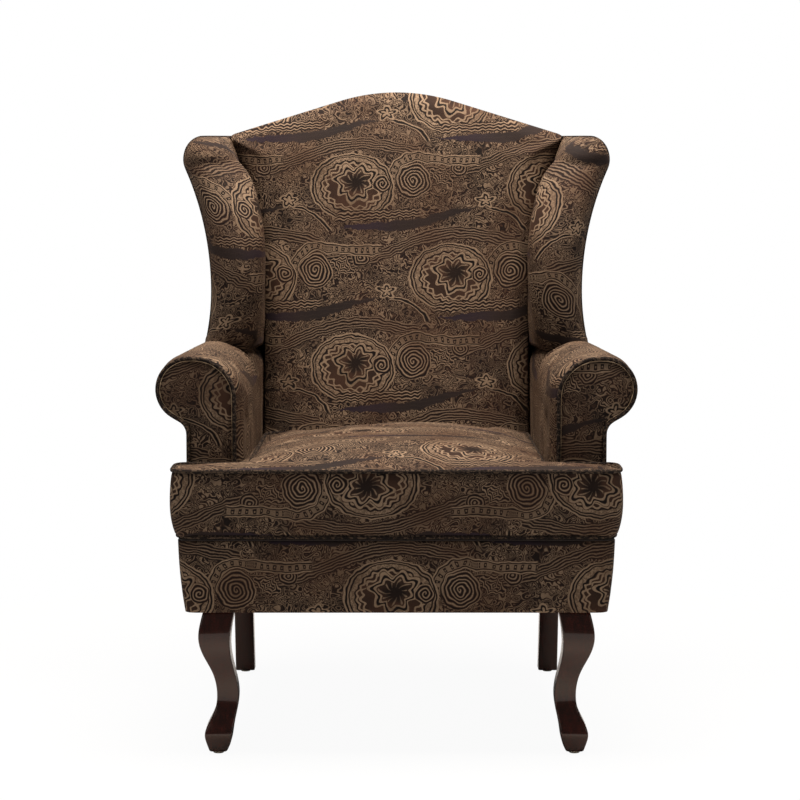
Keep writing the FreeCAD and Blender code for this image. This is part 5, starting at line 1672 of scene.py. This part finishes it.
def buildRearLeg(side, sign):
    rings = []
    for z in np.r_[legFoot, np.linspace(0.006, legTop, 20)]:
        share = (legTop - z) / 0.2294
        drop = 0.0012 if z < 0.0045 else 0.0
        x0, x1 = rearLeg["inner"] + drop, rearLeg["outer"] - drop
        y0 = blend(rearLeg["top"], rearLeg["foot"], share)
        rings.append(squareRing(x0, x1, y0 + drop, y0 + rearLeg["thick"] - drop, z))
    return legPiece("rearLeg_" + side, rings, sign, "rear_leg_" + side)


for side, sign in sides:
    buildFrontLeg(side, sign)
    buildRearLeg(side, sign)
print("legs done")


# Studio: pale floor that runs out into a white backdrop, broad soft lights
studio = {
    "floorHalf": 9.0,
    "floor": (0.50, 0.495, 0.49),
    "fade": (0.55, 1.3),  # distance at which the floor starts to glow, and where it only glows
    "bleach": 0.95,
    "worldTint": (1.0, 0.985, 0.965),
    "worldLight": 0.14,
}
lamps = {  # place, aim, size, power, tint
    "topSoft": ((0.0, -0.2, 3.2), (0.0, -0.1, 0.5), (2.2, 1.4), 285.0, (1.0, 0.93, 0.86)),
    "frontLeft": ((-2.2, -3.0, 2.0), (0.0, -0.1, 0.55), (1.8, 1.8), 13.0, (1.0, 1.0, 1.0)),
    "frontRight": ((2.4, -2.8, 1.7), (0.0, -0.1, 0.55), (1.6, 1.6), 10.0, (1.0, 1.0, 1.0)),
    "behind": ((0.0, 3.0, 2.4), (0.0, 0.0, 0.7), (2.4, 1.6), 18.0, (1.0, 1.0, 1.0)),
}
view = {"place": (0.0, -4.2, 0.96), "lens": 112.5, "pitch": 5.9, "shiftPixels": 3.5, "frame": 800.0}


def buildFloor():
    half = studio["floorHalf"]
    corners = [(-half, -half, 0), (half, -half, 0), (half, half, 0), (-half, half, 0)]
    mesh = bpy.data.meshes.new("floor")
    mesh.from_pydata(corners, [], [(0, 1, 2, 3)])
    floor = intoScene(bpy.data.objects.new("floor", mesh))
    material, tree, shader = newMaterial("paleFloor")
    shader.inputs["Base Color"].default_value = (*studio["floor"], 1.0)
    shader.inputs["Roughness"].default_value = 0.9
    glow = tree.nodes.new("ShaderNodeEmission")
    glow.inputs["Strength"].default_value = 1.0
    far = tree.nodes.new("ShaderNodeVectorMath")
    far.operation = "LENGTH"
    tree.links.new(objectPlace(tree), far.inputs[0])
    seen = Signal(tree, tree.nodes.new("ShaderNodeLightPath").outputs["Is Camera Ray"])
    share = Signal(tree, far.outputs["Value"]).step(*studio["fade"]).most(seen * studio["bleach"])
    mix = tree.nodes.new("ShaderNodeMixShader")
    tree.links.new(share.socket, mix.inputs[0])
    tree.links.new(shader.outputs[0], mix.inputs[1])
    tree.links.new(glow.outputs[0], mix.inputs[2])
    tree.links.new(mix.outputs[0], tree.nodes["Material Output"].inputs["Surface"])
    mesh.materials.append(material)


# The camera sees a white world, and the chair gets its dim light
def buildWorld():
    world = bpy.data.worlds.new("studio")
    bpy.context.scene.world = world
    world.use_nodes = True
    tree = world.node_tree
    tree.nodes.clear()
    out = tree.nodes.new("ShaderNodeOutputWorld")
    soft = tree.nodes.new("ShaderNodeBackground")
    soft.inputs["Color"].default_value = (*studio["worldTint"], 1.0)
    soft.inputs["Strength"].default_value = studio["worldLight"]
    white = tree.nodes.new("ShaderNodeBackground")
    white.inputs["Color"].default_value = (1.0, 1.0, 1.0, 1.0)
    white.inputs["Strength"].default_value = 1.0
    path = tree.nodes.new("ShaderNodeLightPath")
    mix = tree.nodes.new("ShaderNodeMixShader")
    tree.links.new(path.outputs["Is Camera Ray"], mix.inputs[0])
    tree.links.new(soft.outputs[0], mix.inputs[1])
    tree.links.new(white.outputs[0], mix.inputs[2])
    tree.links.new(mix.outputs[0], out.inputs[0])


def areaLight(name, place, aim, size, power, tint):
    light = bpy.data.lights.new(name, "AREA")
    light.shape = "RECTANGLE"
    light.size, light.size_y = size
    light.energy = power
    light.color = tint
    lamp = intoScene(bpy.data.objects.new(name, light))
    lamp.location = place
    lamp.rotation_euler = (Vector(aim) - Vector(place)).to_track_quat("-Z", "Y").to_euler()
    return lamp


def buildCamera():
    data = bpy.data.cameras.new("camera")
    data.lens = view["lens"]
    data.sensor_width = 36.0
    data.shift_x = view["shiftPixels"] / view["frame"]
    camera = intoScene(bpy.data.objects.new("camera", data))
    camera.location = view["place"]
    camera.rotation_euler = (math.radians(90.0 - view["pitch"]), 0.0, 0.0)
    bpy.context.scene.camera = camera


buildFloor()
buildWorld()
[areaLight(name, *values) for name, values in lamps.items()]
buildCamera()
bpy.context.scene.view_settings.view_transform = "Standard"
print("scene ready")
